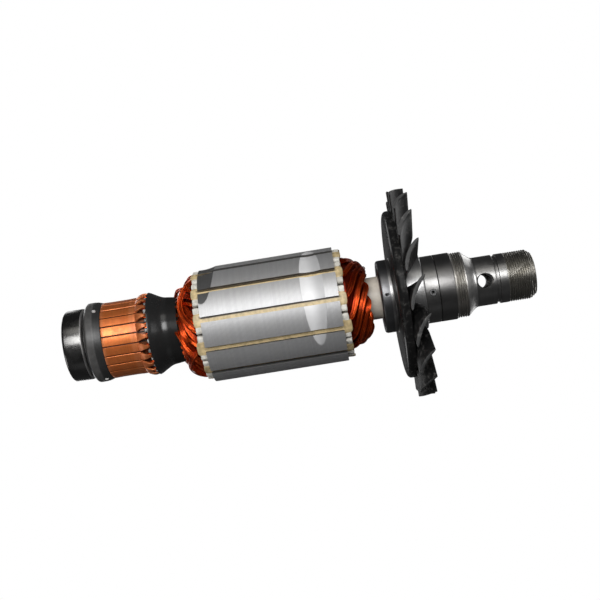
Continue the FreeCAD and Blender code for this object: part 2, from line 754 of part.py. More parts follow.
def make_fan():
    turned("fan_hub", ring_outline("fan_seat_diameter / 2", "fan_hub_diameter / 2", "0", "fan_hub_height"),
           "fan_foot")
    rim = "plate_diameter / 2"
    eased = "plate_round * (1 - cos(45deg))"
    plate = turned("fan_plate", [
        ("fan_hub_diameter / 2", "0"),
        (rim + " - plate_round", "0"),
        (f"{rim} - {eased}", eased),
        (rim, "plate_round"),
        (rim, "plate_thickness"),
        ("fan_hub_diameter / 2", "plate_thickness"),
    ], "fan_foot")
    hub = radius("fan_hub_diameter")
    tip = radius("blade_tip_diameter")
    start = hub - size("blade_lap")
    finish = tip + size("blade_lap")
    blade = skinned([blade_section(start + (finish - start) * share, size("blade_root_drop") * (1 - share))
                     for share in (0.0, 0.5, 1.0)])
    low = size("blade_start") - size("blade_thickness")
    high = size("blade_start") + size("blade_rise") + size("blade_thickness")
    blade = blade.common(ring_between(hub, tip, low, high))
    blades = add_feature("fan_blades", Part.makeCompound(around(blade, size("blade_count"))),
                         size("fan_foot"), size("blade_turn"))
    return join("fan_moulding", "Part::Fuse", plate, blades)


def blade_section(distance, drop):
    """A blade's cambered section on a flat at a distance from the axis, as wide in degrees at each."""
    half = distance * math.tan(math.radians(size("blade_half_sweep")))
    foot = FreeCAD.Vector(distance, half, size("blade_start"))
    head = FreeCAD.Vector(distance, -half, size("blade_start") + size("blade_rise") - drop)
    chord = (head - foot).normalize()
    down = FreeCAD.Vector(1, 0, 0).cross(chord)
    if down.z > 0:
        down = down * -1
    under, over = [], []
    for share in BLADE_SHARES:
        fullness = 4 * share * (1 - share)
        middle = foot + (head - foot) * share + down * (size("blade_camber") * fullness)
        thickness = size("blade_edge") + (size("blade_thickness") - size("blade_edge")) * fullness
        under.append(middle + down * (thickness / 2))
        over.append(middle - down * (thickness / 2))
    return under + over[::-1]


# Spacer collar with its grub screw, in front of the fan.
def make_collar():
    collar = turned("collar_turned", ring_outline("fan_seat_diameter / 2", "seat_diameter / 2", "0",
                                                  "collar_height"), "collar_foot",
                    bevels={"collar_bevel": [1, 2]})
    seat = radius("fan_seat_diameter")
    face = radius("seat_diameter")
    height = size("collar_foot") + size("grub_height")
    drilled = radial_rod(radius("grub_diameter"), seat - OVERRUN, face + OVERRUN)
    tool = add_feature("grub_hole", drilled, height, size("grub_turn"))
    screw = radial_rod(radius("grub_diameter"), seat, face - size("grub_inset"))
    socket_depth = (face - seat) / 2
    corner = size("grub_socket") / math.sqrt(3)
    hexagon = [FreeCAD.Vector(face - socket_depth, corner * math.cos(math.radians(60 * i)),
                              corner * math.sin(math.radians(60 * i))) for i in range(6)]
    socket = polygon_face(hexagon).extrude(FreeCAD.Vector(socket_depth + OVERRUN, 0, 0))
    add_feature("collar_grub_screw", screw.cut(socket), height, size("grub_turn"))
    return join("collar_drilled", "Part::Cut", collar, tool)


def radial_rod(rod_radius, start, finish):
    """A round rod along +X between two distances from the axis."""
    return Part.makeCylinder(rod_radius, finish - start, FreeCAD.Vector(start, 0, 0), FreeCAD.Vector(1, 0, 0))


# Spindle: the whole shaft in one piece, from the tail journal to the bored and threaded nose.
def make_spindle():
    nose = "nose_diameter / 2"
    groove = "nose_foot + nose_plain_length"
    outline = [
        ("0", "shaft_recess"),
        ("bearing_bore / 2 - shaft_bevel", "shaft_recess"),
        ("bearing_bore / 2", "shaft_recess + shaft_bevel"),
        ("bearing_bore / 2", "commutator_foot"),
        ("shaft_diameter / 2", "commutator_foot"),
        ("shaft_diameter / 2", "hub_foot"),
        ("fan_seat_diameter / 2", "hub_foot"),
        ("fan_seat_diameter / 2", "seat_foot"),
        ("seat_diameter / 2", "seat_foot"),
        ("seat_diameter / 2", "locknut_foot"),
        ("locknut_diameter / 2", "locknut_foot + locknut_step"),
        ("locknut_diameter / 2", "cone_foot"),
        ("cone_diameter / 2", "nose_foot - nose_fillet"),
        (nose, "nose_foot"),
        (nose, groove),
        (nose + " - nose_groove_depth", groove),
        (nose + " - nose_groove_depth", groove + " + nose_groove_width"),
        (nose, groove + " + nose_groove_width"),
        (nose, "nose_top - nose_bevel_length"),
        ("nose_end_diameter / 2", "nose_top"),
        ("collet_mouth / 2", "nose_top"),
        ("collet_bore / 2", "nose_top - collet_taper_length"),
        ("collet_bore / 2", "nose_top - collet_depth"),
        ("0", "nose_top - collet_depth - drill_point"),
    ]
    body = turned("spindle_turned", outline, bevels={"collar_bevel": [8]})
    before = body.Shape.Volume
    sketch = circle_sketch(body, "cross_hole_circle", "XZ_Plane", "0", "nose_foot + cross_hole_height",
                           "cross_hole_diameter / 2")
    hole = body.newObject("PartDesign::Pocket", "cross_hole")
    hole.Profile = sketch
    hole.Type = "ThroughAll"
    hole.Midplane = True
    doc.recompute()
    check_cut(body, before, "cross hole")
    bore = radius("cross_hole_diameter")
    bevel = size("cross_hole_bevel")
    face = radius("nose_diameter")
    height = size("nose_foot") + size("cross_hole_height")
    sink = Part.makeCone(bore + 2 * bevel, bore, 2 * bevel, FreeCAD.Vector(0, -face - bevel, height),
                         FreeCAD.Vector(0, 1, 0))
    sinks = add_feature("cross_hole_bevels", Part.makeCompound(around(sink, 2)))
    return join("spindle_drilled", "Part::Cut", body, sinks)


make_bearing()
slinger = make_slinger()
make_commutator()
make_neck()
make_sleeve()
core = make_core()
make_slot_insulation()
make_coils()
hub_ring = make_hub_ring()
fan = make_fan()
collar = make_collar()
spindle = make_spindle()
doc.recompute()

# Which object becomes which file. A tool or a blank that a boolean uses isn't a part of its own.
PARTS = {
    "spindle": spindle,
    "slinger_ring": slinger,
    "lamination_core": core,
    "hub_ring": hub_ring,
    "fan": fan,
    "spacer_collar": collar,
}
for label in ("bearing_outer_ring", "bearing_inner_ring", "bearing_tail_shield", "bearing_core_shield",
              "bearing_balls", "bearing_cage", "commutator_bush", "commutator_moulding", "commutator_bars",
              "commutator_mica", "lead_binding", "shaft_sleeve", "slot_liners", "slot_wedges",
              "armature_coils", "fan_hub", "collar_grub_screw"):
    PARTS[label] = doc.getObjectsByLabel(label)[0]

for item in doc.Objects:
    if "Invalid" in item.State or "Error" in item.State:
        raise RuntimeError(item.Label + " failed: " + str(item.State))
for name, item in PARTS.items():
    if item.Shape.isNull() or not item.Shape.isValid():
        raise RuntimeError(name + " has no sound shape")

os.makedirs("parts", exist_ok=True)
for name, item in PARTS.items():
    item.Shape.exportStep(f"parts/{name}.step")
    print(name, len(item.Shape.Solids), round(item.Shape.Volume, 1))
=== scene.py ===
"""Looks of the motor armature. The shaft's axis is +Z, the tail bearing stands on z = 0, all in metres."""

import math

import bpy
import numpy as np
from mathutils import Matrix, Vector


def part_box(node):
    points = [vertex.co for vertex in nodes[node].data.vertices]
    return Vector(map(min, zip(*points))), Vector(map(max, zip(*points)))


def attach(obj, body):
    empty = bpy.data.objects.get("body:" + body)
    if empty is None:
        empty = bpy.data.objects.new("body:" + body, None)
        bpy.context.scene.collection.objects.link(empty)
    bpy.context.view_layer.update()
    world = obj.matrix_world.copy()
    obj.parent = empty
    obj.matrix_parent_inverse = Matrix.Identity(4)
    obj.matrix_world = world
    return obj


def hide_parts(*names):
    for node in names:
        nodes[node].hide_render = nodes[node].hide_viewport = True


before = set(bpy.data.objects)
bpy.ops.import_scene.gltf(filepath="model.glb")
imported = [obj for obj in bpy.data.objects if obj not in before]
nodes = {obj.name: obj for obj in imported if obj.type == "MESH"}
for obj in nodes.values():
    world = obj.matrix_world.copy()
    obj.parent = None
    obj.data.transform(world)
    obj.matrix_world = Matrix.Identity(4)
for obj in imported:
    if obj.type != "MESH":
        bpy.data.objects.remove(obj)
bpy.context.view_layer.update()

MM = 0.001
TURN = 2 * math.pi
chance = np.random.default_rng(12)


def extent(node):
    """Outer radius, lowest and highest height of a CAD node."""
    low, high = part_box(node)
    return high.x, low.z, high.z


# Surfaces: each is a grid of points, gathered with others into one piece.
class Piece:
    """Closed surfaces that make one object, with a shade value on each point."""

    def __init__(self):
        self.points, self.loops, self.sizes, self.shades = [], [], [], []
        self.count = 0

    def add(self, grid, ring=False, shade=0.5):
        """A grid whose columns close round. In a ring its rows close too, or else each end gets a middle."""
        rows, columns = grid.shape[:2]
        index = np.arange(rows * columns).reshape(rows, columns)
        lower = index if ring else index[:-1]
        upper = np.roll(index, -1, 0) if ring else index[1:]
        quads = np.stack([lower, np.roll(lower, -1, 1), np.roll(upper, -1, 1), upper], -1).reshape(-1, 4)
        points = grid.reshape(-1, 3)
        triangles = np.zeros((0, 3), int)
        if not ring:
            points = np.vstack([points, grid[0].mean(0), grid[-1].mean(0)])
            foot, head = rows * columns, rows * columns + 1
            first, last = index[0], index[-1]
            low_fan = np.stack([np.full(columns, foot), np.roll(first, -1), first], -1)
            high_fan = np.stack([np.full(columns, head), last, np.roll(last, -1)], -1)
            triangles = np.vstack([low_fan, high_fan])
        split = np.vstack([quads[:, [0, 1, 2]], quads[:, [0, 2, 3]], triangles])
        a, b, c = (points[split[:, k]] - points.mean(0) for k in range(3))
        if np.einsum("ij,ij->i", a, np.cross(b, c)).sum() < 0:
            quads, triangles = quads[:, ::-1], triangles[:, ::-1]
        self.points.append(points)
        self.loops += [(quads + self.count).ravel(), (triangles + self.count).ravel()]
        self.sizes += [np.full(len(quads), 4), np.full(len(triangles), 3)]
        shade = np.broadcast_to(np.asarray(shade, float), (rows, columns)).ravel()
        self.shades.append(np.append(shade, [shade[0], shade[-1]]) if not ring else shade)
        self.count += len(points)

    def build(self, name, material, body="rotor", replaces=(), sharp=35):
        """The finished object, riding on its body."""
        points = np.vstack(self.points)
        loops, sizes = np.concatenate(self.loops), np.concatenate(self.sizes)
        mesh = bpy.data.meshes.new(name)
        mesh.vertices.add(len(points))
        mesh.vertices.foreach_set("co", points.astype(np.float32).ravel())
        mesh.loops.add(len(loops))
        mesh.loops.foreach_set("vertex_index", loops.astype(np.int32))
        mesh.polygons.add(len(sizes))
        mesh.polygons.foreach_set("loop_start", (np.cumsum(sizes) - sizes).astype(np.int32))
        mesh.update(calc_edges=True)
        mesh.validate()
        shade = mesh.attributes.new("shade", "FLOAT", "POINT")
        shade.data.foreach_set("value", np.concatenate(self.shades).astype(np.float32))
        return finish_piece(mesh, name, material, body, replaces, sharp)


def finish_piece(mesh, name, material, body, replaces, sharp):
    """An object of a mesh with its finish, its body and the CAD nodes that it stands for."""
    mesh.shade_smooth()
    mesh.set_sharp_from_angle(angle=math.radians(sharp))
    mesh.materials.clear()
    mesh.materials.append(material)
    piece = bpy.data.objects.new(name, mesh)
    bpy.context.scene.collection.objects.link(piece)
    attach(piece, body)
    if replaces:
        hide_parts(*replaces)
    return piece


def polar(radius, angle, height):
    """Points from distances, angles in radians and heights."""
    radius, angle, height = np.broadcast_arrays(radius, angle, height)
    return np.stack([radius * np.cos(angle), radius * np.sin(angle), height], -1)


def around(count):
    """Angles that divide a turn evenly, as one row."""
    return np.arange(count)[None, :] / count * TURN


def turned(profile, columns=192):
    """A surface of revolution: each profile point (radius, height) goes round the axis."""
    profile = np.asarray(profile, float)
    return polar(profile[:, :1], around(columns), profile[:, 1:])


def rounded(corners, steps=5, closed=True):
    """An outline whose corners (across, along, round) are eased: a round is a parabola between flanks."""
    corners = np.asarray(corners, float)
    points = []
    count = len(corners)
    for i, (across, along, ease) in enumerate(corners):
        corner = np.array([across, along])
        if ease <= 0 or (not closed and i in (0, count - 1)):
            points.append(corner)
            continue
        before = corners[i - 1, :2] - corner
        after = corners[(i + 1) % count, :2] - corner
        start = corner + before / np.linalg.norm(before) * min(ease, np.linalg.norm(before) * 0.49)
        finish = corner + after / np.linalg.norm(after) * min(ease, np.linalg.norm(after) * 0.49)
        for t in np.linspace(0, 1, steps):
            points.append((1 - t) ** 2 * start + 2 * t * (1 - t) * corner + t ** 2 * finish)
    return np.array(points)


def dense(profile, longest, closed=True):
    """The outline, its long stretches divided. The longest is a number, or depends on their middle."""
    points = []
    ends = np.roll(profile, -1, 0) if closed else np.vstack([profile[1:], profile[-1:]])
    for start, finish in zip(profile, ends):
        most = longest(*(start + finish) / 2) if callable(longest) else longest
        parts = max(1, math.ceil(np.linalg.norm(finish - start) / most))
        points += [start + (finish - start) * k / parts for k in range(parts)]
    return np.array(points)


def eased_line(poles, count):
    """Points on the cubic clamped B-spline with evenly spaced knots that follows the poles."""
    poles = np.asarray(poles, float)
    spans = len(poles) - 3
    knots = np.concatenate([[0] * 3, np.arange(spans + 1), [spans] * 3]).astype(float)
    t = np.linspace(0, spans, count)
    weight = np.array([(knots[i] <= t) & (t < knots[i + 1]) for i in range(len(knots) - 1)], float)
    weight[len(poles) - 1, -1] = 1
    for degree in range(1, 4):
        for i in range(len(knots) - 1 - degree):
            left, right = knots[i + degree] - knots[i], knots[i + degree + 1] - knots[i + 1]
            rise = (t - knots[i]) / left * weight[i] if left else 0
            fall = (knots[i + degree + 1] - t) / right * weight[i + 1] if right else 0
            weight[i] = rise + fall
    return weight[:len(poles)].T @ poles


def unit(vectors):
    """Vectors brought to length one."""
    return vectors / np.linalg.norm(vectors, axis=1, keepdims=True)


def frames_along(line):
    """Two directions square to a line at each of its points, one of them close to outwards from the axis."""
    along = unit(np.gradient(line, axis=0))
    across = unit(np.cross(along, unit(line * np.array([1, 1, 0]))))
    return across, np.cross(across, along)


def tube(line, radius):
    """A six-sided wire along a line."""
    across, lift = frames_along(line)
    angle = around(6)[..., None]
    return line[:, None] + (across[:, None] * np.cos(angle) + lift[:, None] * np.sin(angle)) * radius


def drift(count, waves, strength):
    """A smooth chance drift along a line: a few sine waves of chance phase."""
    t = np.linspace(0, 1, count)
    return sum(strength / waves * math.sqrt(2) * chance.normal() * np.sin(TURN * (k + 1) * 0.5 * t
               + chance.uniform(0, TURN)) for k in range(waves))


def shade_near(tone, spread):
    """A chance shade value near a tone."""
    return np.clip(tone + chance.normal() * spread, 0, 1)


def knob(angle, height, foot, head, wide, squash=1.0):
    """A knob that stands out from the axis: circles that narrow slowly from its foot to its round head."""
    t = np.linspace(0, 1, 7)[:, None]
    a = around(16)
    out = foot + (head - foot) * np.sin(t * math.pi / 2)
    wide = wide * np.sqrt(np.clip(1 - t ** 2.5, 0.02, 1))
    y = wide * np.cos(a)
    z = wide * np.sin(a) * squash
    return np.stack([out * math.cos(angle) - y * math.sin(angle),
                     out * math.sin(angle) + y * math.cos(angle), height + z], -1)


# Finishes: each is a node material on the object's own coordinates or on a piece's shade value.
class Nodes:
    """The nodes of a material or of the world. An input is a value or another node's output."""

    def __init__(self, tree):
        self.tree = tree

    def feed(self, socket, value):
        """Link an output to a socket, or set the socket to a value."""
        if isinstance(value, bpy.types.NodeSocket):
            self.tree.links.new(value, socket)
        else:
            socket.default_value = value

    def step(self, kind, inputs=None, **settings):
        """A node with its settings and inputs."""
        node = self.tree.nodes.new("ShaderNode" + kind)
        for key, value in settings.items():
            setattr(node, key, value)
        for socket, value in (inputs or {}).items():
            self.feed(node.inputs[socket], value)
        return node

    def maths(self, operation, *values, clamp=False):
        """An operation on one or two numbers."""
        return self.step("Math", dict(enumerate(values)), operation=operation, use_clamp=clamp).outputs[0]

    def times(self, first, second):
        """The product of two numbers."""
        return self.maths("MULTIPLY", first, second)

    def vector(self, operation, *values, output=0):
        """An operation on one or two vectors."""
        return self.step("VectorMath", dict(enumerate(values)), operation=operation).outputs[output]

    def place(self):
        """Coordinates, distance from the axis, height, and the last two as a vector (distance, 0, height)."""
        where = self.step("TexCoord").outputs["Object"]
        parts = self.step("SeparateXYZ", {0: where}).outputs
        flat = self.step("CombineXYZ", {0: parts[0], 1: parts[1]}).outputs[0]
        away = self.vector("LENGTH", flat, output="Value")
        rings = self.step("CombineXYZ", {0: away, 2: parts[2]}).outputs[0]
        return where, away, parts[2], rings

    def shade(self):
        """The shade value that each point of a piece carries."""
        return self.step("Attribute", attribute_name="shade").outputs["Fac"]

    def noise(self, where, scale, detail=3.0, roughness=0.55, distortion=0.0):
        """Cloudy noise from 0 to 1, its scale in clouds for each metre."""
        inputs = {"Vector": where, "Scale": scale, "Detail": detail, "Roughness": roughness,
                  "Distortion": distortion}
        return self.step("TexNoise", inputs).outputs[0]

    def between(self, value, start, finish, low=0.0, high=1.0):
        """The value carried from one range to another and kept in it, with eased ends."""
        return self.step("MapRange", {"Value": value, "From Min": start, "From Max": finish, "To Min": low,
                                      "To Max": high}, clamp=True, interpolation_type="SMOOTHSTEP").outputs[0]

    def blend(self, share, first, second):
        """The first colour, and by its share the second."""
        node = self.step("Mix", data_type="RGBA")
        for index, value in ((0, share), (6, first), (7, second)):
            self.feed(node.inputs[index], (*value, 1) if isinstance(value, tuple) else value)
        return node.outputs[2]


class Finish(Nodes):
    """A material: what is the same all over is set on the shader's sockets here, and patterns come later."""

    def __init__(self, name, colour, metallic, roughness, **more):
        self.material = bpy.data.materials.new(name)
        self.material.use_nodes = True
        super().__init__(self.material.node_tree)
        self.shader = self.tree.nodes["Principled BSDF"]
        sockets = {"Base Color": (*colour, 1), "Metallic": metallic, "Roughness": roughness, **more}
        for socket, value in sockets.items():
            self.shader.inputs[socket.replace("_", " ")].default_value = value
        self.colour = colour

    def tint(self, share, tone, most=None):
        """Blend a tone over the colour so far, by a share that may be held to less than the whole."""
        self.colour = self.blend(share if most is None else self.times(share, most), self.colour, tone)

    def put(self, socket, pattern):
        """Carry a pattern to one of the shader's sockets."""
        self.tree.links.new(pattern, self.shader.inputs[socket])

    def bump(self, height, distance, strength):
        """Small relief that follows a pattern, its depth in metres."""
        node = self.step("Bump", {"Height": height, "Distance": distance, "Strength": strength})
        self.put("Normal", node.outputs[0])


def turned_steel(name, tone, roughness, line=0.35, stain=0.3, stain_tone=(0.1, 0.09, 0.08), bands=()):
    """Steel from a lathe: fine lines round the axis, cloudy stains, bands (low, high, tone, roughness)."""
    look = Finish(name, tone, 1.0, roughness)
    where, _, height, rings = look.place()
    lines = look.noise(rings, 3200, 2.0)
    cloud = look.between(look.noise(where, 160, 5.0, 0.6), 0.42, 0.72)
    rough = roughness
    for start, finish, band_tone, band_roughness in bands:
        inside = look.times(look.between(height, start, start + 0.15 * MM),
                            look.between(height, finish, finish + 0.15 * MM, 1, 0))
        look.tint(inside, band_tone)
        rough = look.maths("ADD", rough, look.times(inside, band_roughness - roughness))
    look.tint(cloud, stain_tone, stain)
    look.tint(look.between(lines, 0.3, 0.7, 0, 0.35), tuple(0.6 * c for c in tone))
    look.put("Base Color", look.colour)
    look.put("Roughness", look.maths("ADD", rough, look.times(cloud, 0.12)))
    look.bump(lines, 0.02 * MM, line)
    return look.material


def plain_finish(name, tone, roughness, grain=400, spread=0.25):
    """A moulded finish: one colour with a little cloud in it and a fine grain."""
    look = Finish(name, tone, 0.0, roughness)
    where = look.place()[0]
    cloud = look.between(look.noise(where, grain, 4.0), 0.3, 0.7, 0, spread)
    look.put("Base Color", look.blend(cloud, tone, tuple(0.35 * c for c in tone)))
    look.bump(look.noise(where, grain * 6), 0.05 * MM, 0.3)
    return look.material


def shaded_finish(name, dark, light, roughness, grain, dent):
    """A finish whose tone follows each point's shade value, with grain on top."""
    look = Finish(name, light, 0.0, roughness)
    where = look.place()[0]
    shade = look.shade()
    cloud = look.between(look.noise(where, grain, 4.0, 0.6), 0.25, 0.75, -0.6, 0.6)
    mixed = look.maths("ADD", shade, look.times(look.times(cloud, shade), 0.5), clamp=True)
    look.put("Base Color", look.blend(mixed, dark, light))
    look.bump(look.noise(where, grain * 4), dent * MM, 0.4)
    return look.material


def give(name, material):
    """Finish a CAD node that is shown as it is."""
    nodes[name].data.materials.clear()
    nodes[name].data.materials.append(material)


# Sizes that the pieces share, read from the CAD nodes.
core_radius, core_foot, core_top = extent("lamination_core")
bar_foot = extent("commutator_bars")[1]
neck_radius, neck_foot, neck_top = extent("lead_binding")
sleeve_radius = extent("shaft_sleeve")[0]
hub_ring_radius, hub_foot, fan_foot = extent("hub_ring")
fan_hub_radius, _, collar_foot = extent("fan_hub")
blade_radius = extent("fan")[0]
seat_radius, _, seat_foot = extent("spacer_collar")
nose_top = extent("spindle")[2]
bearing_radius, _, bearing_top = extent("bearing_outer_ring")

SHAFT_RADIUS = 7.5 * MM
SLOT_COUNT = 12
SLOT_PITCH = TURN / SLOT_COUNT
SLOT_TURN = math.radians(-5.5)
TOOTH_WIDTH = 3.6 * MM
SLOT_FLOOR = core_radius - 12.0 * MM
WEDGE_TOP = core_radius - 1.5 * MM
WEDGE_FOOT = WEDGE_TOP - 1.1 * MM


def slot_half(radius, inset=0.0):
    """Half the slot's width at a distance from the axis, less an inset on its flank."""
    return radius * math.tan(SLOT_PITCH / 2) - (TOOTH_WIDTH / 2 + inset) / math.cos(SLOT_PITCH / 2)


def spun(grid, angle):
    """A grid turned about the axis."""
    c, s = math.cos(angle), math.sin(angle)
    return grid @ np.array([[c, s, 0], [-s, c, 0], [0, 0, 1]])


def in_slot(grid, k):
    """A grid turned from the +X axis to a slot of the core."""
    return spun(grid, SLOT_TURN + k * SLOT_PITCH)


def mirrored(points):
    """Points (outwards, across, ...) of one side, followed by the same points on the other side."""
    return points + [(out, -across, *more) for out, across, *more in reversed(points)]


def straight(section, heights):
    """A section (outwards, across) carried straight up through heights."""
    return np.array([np.column_stack([section, np.full(len(section), height)]) for height in heights])


def square_to(path):
    """The direction square to a flat path at each of its points."""
    along = unit(np.gradient(path, axis=0))
    return np.stack([along[:, 1], -along[:, 0]], -1)


# Tail bearing: rings with eased edges, and shields with a pressed step.
def make_bearing():
    """Two rings and two shields, each an eased half section that goes round the axis."""
    # The pale, rough band at the rings' top edge is a painted highlight: it gives the bright line of light
    # along that edge.
    steel = turned_steel("polished_bearing_steel", (0.145, 0.143, 0.14), 0.22, line=0.06, stain=0.08,
                         bands=((bearing_top - 0.75 * MM, bearing_top, (0.62, 0.61, 0.60), 0.50),))
    shield_steel = turned_steel("pressed_shield_steel", (0.40, 0.40, 0.40), 0.35, line=0.4, stain=0.35)
    shield_low, shield_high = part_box("bearing_tail_shield")
    land, inner_land = shield_high.x, extent("bearing_inner_ring")[0]
    rings = (
        ("tail_bearing_race", "bearing_outer_ring", "outer_ring",
         land, 0.3, bearing_radius, 1.3, 8, 192),
        ("tail_bearing_inner_race", "bearing_inner_ring", "rotor",
         SHAFT_RADIUS, 0.6, inner_land, 0.35, 5, 128),
    )
    for name, node, body, bore, inside, radius, outside, steps, columns in rings:
        outline = rounded([(bore, 0, inside * MM), (radius, 0, outside * MM),
                           (radius, bearing_top, outside * MM), (bore, bearing_top, inside * MM)], steps)
        ring = Piece()
        ring.add(turned(outline, columns), ring=True)
        ring.build(name, steel, body, [node])
    thick = shield_high.z - shield_low.z
    edge = inner_land + 0.3 * MM
    section = np.array([(edge, 0.35), (edge + 0.35 * MM, 0.0), (edge + 0.9 * MM, 0.0),
                        (edge + 1.25 * MM, 0.3), (land - 0.55 * MM, 0.3), (land - 0.3 * MM, 0.0),
                        (land, 0.0)])
    for name, foot, facing in (("bearing_tail_shield", shield_low.z, 1),
                               ("bearing_core_shield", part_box("bearing_core_shield")[1].z, -1)):
        outside = np.stack([section[:, 0], foot + facing * section[:, 1] * MM], -1)
        inside = outside[::-1] + np.array([0, facing * thick * 0.6])
        shield = Piece()
        shield.add(turned(np.vstack([outside, inside]), 128), ring=True)
        shield.build(name + "_pressed", shield_steel, "outer_ring", [name])
    give("bearing_balls", steel)
    give("bearing_cage", shield_steel)


# Slinger: foot on the bearing, cone, long rim and a bevelled shoulder with three pips.
def make_slinger():
    """An eased half section that goes round the axis, a little prouder on its belt, and three knobs."""
    black = shaded_finish("matte_black_moulding", (0.014, 0.014, 0.014), (0.42, 0.41, 0.40), 0.38, 500, 0.03)
    foot, rim = 9.5 * MM, 17.8 * MM
    gap = bearing_top + 0.9 * MM
    profile = dense(rounded([(SHAFT_RADIUS, bearing_top, 0), (foot, bearing_top, 0), (foot, gap, 0),
                             (rim - 1.6 * MM, gap, 0.4 * MM), (rim, gap + 1.2 * MM, 0.6 * MM),
                             (rim, bar_foot - 2.2 * MM, 0.5 * MM), (BAR_RADIUS, bar_foot, 0.15 * MM),
                             (SHAFT_RADIUS, bar_foot, 0)]), 0.35 * MM)
    belt = (profile[:, 1] > bearing_top + 2.0 * MM) & (profile[:, 1] < bar_foot - 3.3 * MM)
    profile[belt, 0] += 0.12 * MM
    ring = Piece()
    ring.add(turned(profile), ring=True, shade=np.where(belt, 0.10, 0.01)[:, None])
    # The pips carry a high shade, so they take the pale tone: a painted highlight on each pip.
    for k in range(3):
        angle = math.radians(-20.5 + 120 * k)
        ring.add(knob(angle, bar_foot - 2.5 * MM, rim - 1.2 * MM, rim + 0.5 * MM, 0.95 * MM), shade=0.9)
    ring.build("slinger_ring_moulded", black, replaces=["slinger_ring"])


# Enamelled wire of the coils and of their leads.
def wire_finish():
    """Red-brown enamel: its tone follows each wire's shade value and a soft cloud."""
    look = Finish("enamelled_winding_wire", (0.60, 0.10, 0.02), 0.9, 0.25, Coat_Weight=0.12,
                  Coat_Roughness=0.15)
    where = look.place()[0]
    shade = look.shade()
    cloud = look.noise(where, 180)
    mixed = look.maths("ADD", shade, look.between(cloud, 0.3, 0.7, -0.2, 0.2), clamp=True)
    look.put("Base Color", look.blend(mixed, (0.22, 0.014, 0.004), (0.95, 0.13, 0.016)))
    look.bump(look.noise(where, 1500, 2.0), 0.05 * MM, 0.3)
    return look.material


wire = wire_finish()


# Commutator: each bar is a long wedge of copper with eased edges, and its end bends up into a hook.
BAR_COUNT = 24
BAR_PITCH = TURN / BAR_COUNT
BAR_TURN = math.radians(1.5)
BAR_RADIUS = 17.1 * MM
BAR_TOP = bar_foot + 16.5 * MM
BAR_INNER = BAR_RADIUS - 4.6 * MM
HALF_GAP = 0.25 * MM


def bar_section(outer, ease):
    """The bar's section at one height: an arc outside, flanks along the gaps, an arc inside."""
    def corner(radius):
        """Half the section's width at a distance from the axis."""
        return radius * math.sin(BAR_PITCH / 2) - HALF_GAP

    half = corner(outer)
    across = half * np.array([-1, -1 + ease / half, -0.6, -0.2, 0.2, 0.6, 1 - ease / half, 1])
    sink = np.array([ease, 0, 0, 0, 0, 0, 0, ease])
    away = np.sqrt(outer ** 2 - across ** 2) - sink
    outside = np.stack([away, across], -1)
    inner = corner(BAR_INNER)
    inside = np.array([(BAR_INNER, inner), (BAR_INNER, 0), (BAR_INNER, -inner)])
    return np.vstack([outside, inside])


def copper_finish():
    """Turned copper: fine lines round the axis, a paler worn track, dark blotches, darker hooks, and painted
    shade on the bars' eased edges and flanks towards the gaps.
    """
    look = Finish("turned_commutator_copper", (0.70, 0.20, 0.05), 0.80, 0.34, Coat_Weight=0.45,
                  Coat_Roughness=0.30)
    where, away, height, rings = look.place()
    lines = look.noise(rings, 2600)
    blotch = look.between(look.noise(where, 260, 5.0, 0.6), 0.35, 0.7)
    track = look.times(look.between(height, bar_foot + 1.0 * MM, bar_foot + 1.8 * MM),
                       look.between(height, bar_foot + 12.6 * MM, bar_foot + 13.4 * MM, 1, 0))
    look.colour = (0.68, 0.215, 0.07)
    look.tint(track, (0.74, 0.20, 0.045))
    look.tint(blotch, (0.42, 0.075, 0.012), 0.4)
    look.tint(look.between(lines, 0.45, 0.75, 0, 0.4), (0.34, 0.10, 0.03))
    look.tint(look.between(height, BAR_TOP - 0.2 * MM, BAR_TOP + 2.2 * MM), (0.30, 0.09, 0.03), 0.35)
    # Painted shade: the bars' eased edges and flanks darken as they go down into the gaps between bars.
    painted_gap_shade = look.between(away, BAR_RADIUS - 0.5 * MM, BAR_RADIUS - 0.12 * MM, 1, 0)
    look.tint(painted_gap_shade, (0.10, 0.035, 0.015), 0.8)
    look.put("Base Color", look.colour)
    look.put("Roughness", look.maths("ADD", look.between(track, 0, 1, 0.48, 0.38), look.times(blotch, 0.14)))
    look.bump(lines, 0.02 * MM, 0.25)
    return look.material


def make_commutator():
    """The bars' section carried up through heights at which the outer radius drops, each with a hook."""
    heights = np.array([0, 0.15, 0.4, 1.2, 4, 8, 12, 13.6, 15.4, 16.1, 16.4, 16.5, 17.0, 20.6, 20.9]) * MM
    drops = np.array([0.35, 0.1, 0.0, 0.02, 0.10, 0.12, 0.10, 0.0, 0.0, 0.05, 0.5, 1.4, 1.6, 1.6, 1.8]) * MM
    bar = np.vstack([straight(bar_section(BAR_RADIUS - drop, 0.13 * MM), [bar_foot + height])
                     for height, drop in zip(heights, drops)])
    hook_poles = np.array([(-1.9, -1.0), (-0.4, -0.75), (0.35, 0.35), (0.85, 1.6), (1.0, 2.8), (0.62, 3.75),
                           (0.1, 4.25)])
    bars = Piece()
    for k in range(BAR_COUNT):
        angle = BAR_TURN + k * BAR_PITCH
        bars.add(spun(bar, angle), shade=0.5 + chance.uniform(-0.1, 0.1))
        line = eased_line(hook_poles * (1 + chance.uniform(-0.04, 0.04)), 14) * MM
        bars.add(spun(strap(line, 1.75 * MM, 0.5 * MM), angle), shade=0.3)
    bars.build("commutator_copper_bars", copper_finish(),
               replaces=["commutator_bars"])
    give("commutator_mica", plain_finish("dull_mica_strip", (0.035, 0.022, 0.016), 0.7, spread=0.5))
    give("commutator_moulding", plain_finish("dark_moulding", (0.05, 0.03, 0.02), 0.5))
    give("commutator_bush", turned_steel("bush_brass_turned", (0.60, 0.42, 0.18), 0.3))


